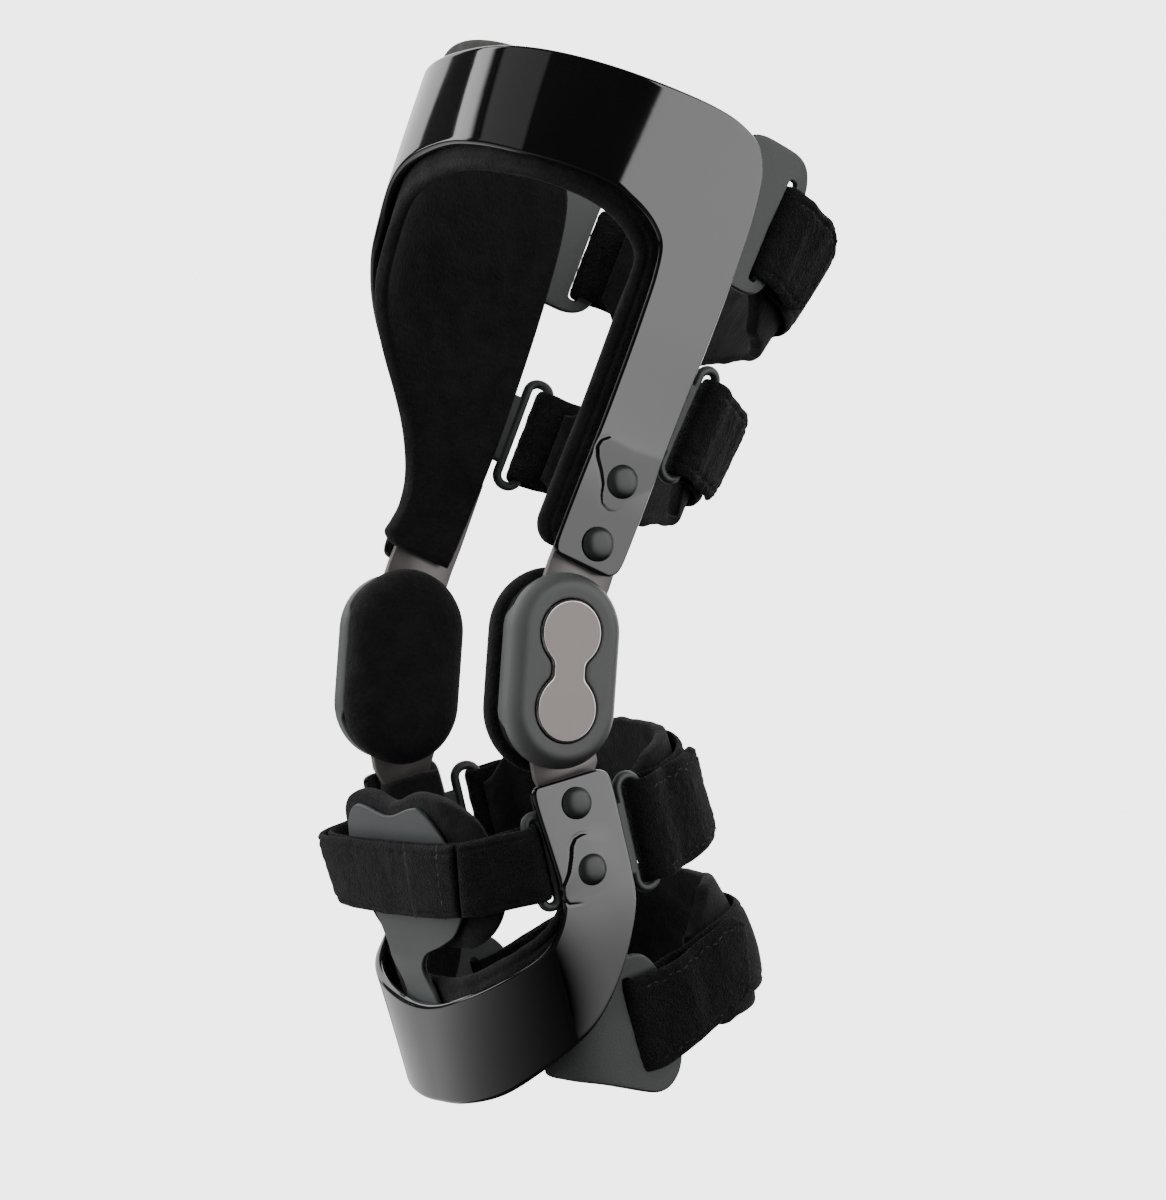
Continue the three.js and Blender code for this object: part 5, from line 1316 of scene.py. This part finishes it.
def rivet_tree(head, material):
    tree, start, end, keys = group_tree("rivets", {"Size": 1.0})
    shape = node(tree, "GeometryNodeObjectInfo", [("Object", head)])
    way = node(tree, "GeometryNodeInputNamedAttribute", [("Name", "outward")], data_type="FLOAT_VECTOR")
    aim = node(tree, "FunctionNodeAlignRotationToVector", axis="Z")
    copy = node(tree, "GeometryNodeInstanceOnPoints")
    real = node(tree, "GeometryNodeRealizeInstances")
    paint = node(tree, "GeometryNodeSetMaterial", [("Material", material)])
    tree.links.new(start.outputs["Geometry"], copy.inputs["Points"])
    tree.links.new(shape.outputs["Geometry"], copy.inputs["Instance"])
    tree.links.new(way.outputs["Attribute"], aim.inputs["Vector"])
    tree.links.new(aim.outputs["Rotation"], copy.inputs["Rotation"])
    tree.links.new(start.outputs["Size"], copy.inputs["Scale"])
    tree.links.new(copy.outputs["Instances"], real.inputs["Geometry"])
    tree.links.new(real.outputs["Geometry"], paint.inputs["Geometry"])
    tree.links.new(paint.outputs["Geometry"], end.inputs["Geometry"])
    return tree, keys


# %% Set the rivets
head = piece_from(rivet_head())
tree, keys = rivet_tree(head, RIVET_PAINT)
for core, heights, across, size in (("thigh", (35, 60), -0.6, 1.0), ("shin", (-35, -60), -2.0, 0.93)):
    points, ways, replaced = [], [], []
    for side, sign in zip(SIDES, (1, -1)):
        for number, height in enumerate(heights, 1):
            wide = float(section_value(CORES[core]["sections"], "half_width", height))
            angle = sign * (90 + math.degrees(math.atan2(across, wide)))
            seat, out = on_core(core, np.array([angle, angle]), height, np.array([0.3, 2.3]))
            points.append(seat)
            ways.append((out - seat) / np.linalg.norm(out - seat))
            replaced.append(f"{core}_rivet_{number}_{side}")
    mesh = grown(f"{core}_rivets", points, [], tree, keys, {"Size": size}, [("outward", ways)])
    mesh.polygons.foreach_set("use_smooth", np.ones(len(mesh.polygons), bool))
    settle(piece_from(mesh), CORES[core]["body"], "rivet", *replaced)
bpy.data.objects.remove(head)

# %% [markdown]
# ## Stitches
# The folded ends of the straps are sewn down, with zigzag rows along both edges and a straight row at
# the hem. A seam is a line on the strap's face; Geometry Nodes cut it into even steps and lay one small
# stitch along the line at each of them, so length, gap and thread are inputs.

# %% Stitch tree
STITCH = {"Step": 0.0034, "Thread": 0.00034, "Length": 0.0013}
SUNK = 0.00012


def stitch_tree(material):
    tree, start, end, keys = group_tree("stitches", STITCH)
    line = node(tree, "GeometryNodeMeshToCurve")
    cut = node(tree, "GeometryNodeCurveToPoints", mode="LENGTH")
    bead = node(tree, "GeometryNodeMeshUVSphere", [("Segments", 6), ("Rings", 4), ("Radius", 1.0)])
    size = node(tree, "ShaderNodeCombineXYZ")
    copy = node(tree, "GeometryNodeInstanceOnPoints")
    real = node(tree, "GeometryNodeRealizeInstances")
    paint = node(tree, "GeometryNodeSetMaterial", [("Material", material)])
    tree.links.new(start.outputs["Geometry"], line.inputs["Mesh"])
    tree.links.new(line.outputs["Curve"], cut.inputs["Curve"])
    tree.links.new(start.outputs["Step"], cut.inputs["Length"])
    for axis, source in (("X", "Thread"), ("Y", "Thread"), ("Z", "Length")):
        tree.links.new(start.outputs[source], size.inputs[axis])
    tree.links.new(cut.outputs["Points"], copy.inputs["Points"])
    tree.links.new(cut.outputs["Rotation"], copy.inputs["Rotation"])
    tree.links.new(bead.outputs["Mesh"], copy.inputs["Instance"])
    tree.links.new(size.outputs["Vector"], copy.inputs["Scale"])
    tree.links.new(copy.outputs["Instances"], real.inputs["Geometry"])
    tree.links.new(real.outputs["Geometry"], paint.inputs["Geometry"])
    tree.links.new(paint.outputs["Geometry"], end.inputs["Geometry"])
    return tree, keys


def band_grid(name):
    """Points of a band's outer and inner face as stations by parts, read back from its mesh."""
    points = np.array([v.co for v in bpy.data.objects[name].data.vertices]).reshape(-1, 2 * len(PARTS), 3)
    return points[:, :len(PARTS)], points[:, len(PARTS):][:, ::-1]


def seam(outer, inner, stations, parts):
    """A line on the outer face, sunk into the cloth by a hair."""
    part = np.floor(parts).astype(int)
    share = (parts - part)[:, None]
    out = mix(outer[stations, part], outer[stations, part + 1], share)
    lift = out - mix(inner[stations, part], inner[stations, part + 1], share)
    return out - lift / np.linalg.norm(lift, axis=1)[:, None] * SUNK


# %% Sew the straps
tree, keys = stitch_tree(THREAD)
EDGE_PART, WHOLE = int(np.argmin(np.abs(PARTS + SEAM_PLACE))), len(PARTS)
HEM_ROW, SEAM_END, SWAY_STEP, SWAY_WIDE = 9, 70, 6, 1.7
FRONT_ROWS = (6, 23)
for core, names in (("thigh", ("upper_thigh_band", "lower_thigh_band")),
                    ("shin", ("upper_calf_band", "lower_calf_band", "front_band"))):
    points, edges = [], []
    for name in names:
        outer, inner = band_grid(name)
        last = len(outer) - 1
        if name == "front_band":
            runs = [(np.full(WHOLE - 4, last - back), np.arange(2, WHOLE - 2)) for back in FRONT_ROWS]
        else:
            runs = []
            for end, way in ((0, 1), (last, -1)):
                length = np.arange(HEM_ROW, SEAM_END)
                sway = SWAY_WIDE * (np.abs(((length - HEM_ROW) / SWAY_STEP + 0.5) % 2 - 1) - 0.5)
                runs += [(end + way * length, part + sway) for part in (EDGE_PART, WHOLE - 2 - EDGE_PART)]
                runs.append((np.full(WHOLE - 10, end + way * HEM_ROW), np.arange(5, WHOLE - 5)))
        for stations, parts in runs:
            first = len(points)
            points += list(seam(outer, inner, stations, parts))
            edges += [(k, k + 1) for k in range(first, len(points) - 1)]
    mesh = grown(f"{core}_stitches", points, edges, tree, keys, STITCH)
    settle(piece_from(mesh), CORES[core]["body"], "strap")

# %% [markdown]
# ## Camera, light and floor
# The camera stands level with the hinge and looks at the outer side of the brace from somewhat in
# front. A black glossy shell shows its surroundings more than itself, so the light is a set of plain
# white panels: a large one to the right for the broad grey face, narrow ones in front for the bright
# stripes, a low one for the shin band. Cloth and plain plastic want their light from all round, so soft
# fill panels are added that the gloss doesn't show, and the largest gloss panels leave the matte
# surfaces alone.

# %% Camera
camera_data = bpy.data.cameras.new("camera")
camera = bpy.data.objects.new("camera", camera_data)
bpy.context.scene.collection.objects.link(camera)
camera.location = (1.69706, -0.85539, 0.02573)
camera.rotation_euler = (math.radians(90), 0, math.radians(62))
camera_data.lens, camera_data.sensor_width = 151.62, 36
bpy.context.scene.camera = camera

# %% Light panels
PANEL_DISTANCE = 2.6
FILL_SOFT = (0.2, 0.2, 0.2, 0.2)


def panel(name, azimuth, elevation, glow, soft, gloss=True, matte=True, slant=0, bends=1, tail=1, least=0):
    """A glowing sheet over the given angles; soft fades its left, right, lower and upper side."""
    corners, spread_points = [], []
    for share in np.linspace(0, 1, bends + 1):
        for up in (0, 1):
            turn = math.radians(mix(azimuth[0] + slant * (1 - up), azimuth[1], share))
            corners.append((PANEL_DISTANCE * math.sin(turn), -PANEL_DISTANCE * math.cos(turn),
                            PANEL_DISTANCE * math.tan(math.radians(elevation[up]))))
            spread_points.append((share, up))
    faces = [(2 * k, 2 * k + 2, 2 * k + 3, 2 * k + 1) for k in range(bends)]
    mesh = bpy.data.meshes.new(name)
    mesh.from_pydata(corners, [], faces)
    spread_map = mesh.uv_layers.new(name="spread")
    spread_values = [value for face in faces for k in face for value in spread_points[k]]
    spread_map.data.foreach_set("uv", spread_values)
    material = bpy.data.materials.new(name + "_glow")
    material.use_nodes = True
    tree = material.node_tree
    tree.nodes.clear()
    place = node(tree, "ShaderNodeUVMap", uv_map="spread")
    axes = node(tree, "ShaderNodeSeparateXYZ")
    tree.links.new(place.outputs["UV"], axes.inputs["Vector"])
    strength = None
    left, right, lower_side, upper_side = soft
    sides = (("X", 0, left), ("X", 1, -right), ("Y", 0, lower_side), ("Y", 1, -upper_side))
    for axis, start, fade in sides:
        limits = [("From Min", start), ("From Max", start + fade), ("To Min", least ** (1 / tail)),
                  ("To Max", glow ** (1 / tail))]
        side = node(tree, "ShaderNodeMapRange", limits,
                    interpolation_type="SMOOTHSTEP" if tail == 1 else "LINEAR")
        tree.links.new(axes.outputs[axis], side.inputs["Value"])
        if strength is None:
            strength = side.outputs["Result"]
        else:
            lower = node(tree, "ShaderNodeMath", operation="MINIMUM")
            tree.links.new(strength, lower.inputs[0])
            tree.links.new(side.outputs["Result"], lower.inputs[1])
            strength = lower.outputs["Value"]
    if tail != 1:
        fall = node(tree, "ShaderNodeMath", [(1, tail)], operation="POWER")
        tree.links.new(strength, fall.inputs[0])
        strength = fall.outputs["Value"]
    light = node(tree, "ShaderNodeEmission", [("Color", (1, 1, 1, 1))])
    out = node(tree, "ShaderNodeOutputMaterial")
    tree.links.new(strength, light.inputs["Strength"])
    tree.links.new(light.outputs["Emission"], out.inputs["Surface"])
    sheet = piece_from(mesh, material)
    sheet.visible_camera, sheet.visible_glossy, sheet.visible_diffuse = False, gloss, matte


panel("right_panel", (84, 165), (-34, 36), 2.78, (0.03, 0.1, 0.53, 0.1), matte=False, slant=9)
panel("front_strip", (-62, -44), (2, 50), 2.6, (0.1, 0.4, 0.1, 0.1))
panel("side_strip", (-112, -73), (-5, 45), 1.3, (0.2, 0.05, 0.2, 0.1))
panel("upper_front", (-40, 11), (20, 48), 0.4, (0.1, 0.1, 0.2, 0.1))
panel("low_left", (-125, 85), (-46, -6), 0.8, (0.08, 0.762, 0.3, 0.12), bends=21, tail=3.4, least=0.06)
panel("back_panel", (178, 252), (-30, 48), 2.4, (0.15, 0.15, 0.3, 0.1), matte=False)
panel("back_fill", (150, 270), (5, 70), 5.0, FILL_SOFT, gloss=False)
panel("left_fill", (-80, 10), (15, 75), 3.0, FILL_SOFT, gloss=False)
panel("right_fill", (62, 170), (20, 75), 2.7, FILL_SOFT, gloss=False)
panel("front_fill", (-75, 40), (-14, 45), 3.6, FILL_SOFT, gloss=False)
panel("low_fill", (-70, 30), (-44, -16), 1.0, FILL_SOFT, gloss=False)

# %% [markdown]
# The room is white to the eye and dim to the shell. A pale floor lies well below the brace and runs out
# into the same white, so that no horizon shows.

# %% Room and floor
ROOM_WHITE, ROOM_DIM = 4.0, 0.05
FLOOR_HEIGHT, FLOOR_HALF = -0.42, 30.0
world = bpy.data.worlds.new("white_room")
bpy.context.scene.world = world
world.use_nodes = True
tree = world.node_tree
tree.nodes.clear()
seen = node(tree, "ShaderNodeLightPath")
white = node(tree, "ShaderNodeBackground", [("Color", (1, 1, 1, 1)), ("Strength", ROOM_WHITE)])
dim = node(tree, "ShaderNodeBackground", [("Color", (1, 1, 1, 1)), ("Strength", ROOM_DIM)])
pick = node(tree, "ShaderNodeMixShader")
out = node(tree, "ShaderNodeOutputWorld")
tree.links.new(seen.outputs["Is Camera Ray"], pick.inputs[0])
tree.links.new(dim.outputs[0], pick.inputs[1])
tree.links.new(white.outputs[0], pick.inputs[2])
tree.links.new(pick.outputs[0], out.inputs["Surface"])

corners = [(x * FLOOR_HALF, y * FLOOR_HALF, FLOOR_HEIGHT) for x, y in ((-1, -1), (1, -1), (1, 1), (-1, 1))]
mesh = bpy.data.meshes.new("floor")
mesh.from_pydata(corners, [], [(0, 1, 2, 3)])
material = bpy.data.materials.new("pale_floor")
material.use_nodes = True
tree = material.node_tree
shader = tree.nodes["Principled BSDF"]
shader.inputs["Base Color"].default_value = (0.86, 0.86, 0.86, 1)
shader.inputs["Roughness"].default_value = 0.9
place = node(tree, "ShaderNodeTexCoord")
away = node(tree, "ShaderNodeVectorMath", operation="LENGTH")
fade = node(tree, "ShaderNodeMapRange", [("From Min", 0.5), ("From Max", 1.5)],
            interpolation_type="SMOOTHSTEP")
glow = node(tree, "ShaderNodeEmission", [("Color", (1, 1, 1, 1)), ("Strength", ROOM_WHITE)])
blend = node(tree, "ShaderNodeMixShader")
tree.links.new(place.outputs["Object"], away.inputs[0])
tree.links.new(away.outputs["Value"], fade.inputs["Value"])
tree.links.new(fade.outputs["Result"], blend.inputs[0])
tree.links.new(shader.outputs[0], blend.inputs[1])
tree.links.new(glow.outputs[0], blend.inputs[2])
tree.links.new(blend.outputs[0], tree.nodes["Material Output"].inputs["Surface"])
floor = piece_from(mesh, material)
floor.visible_glossy = floor.visible_diffuse = False
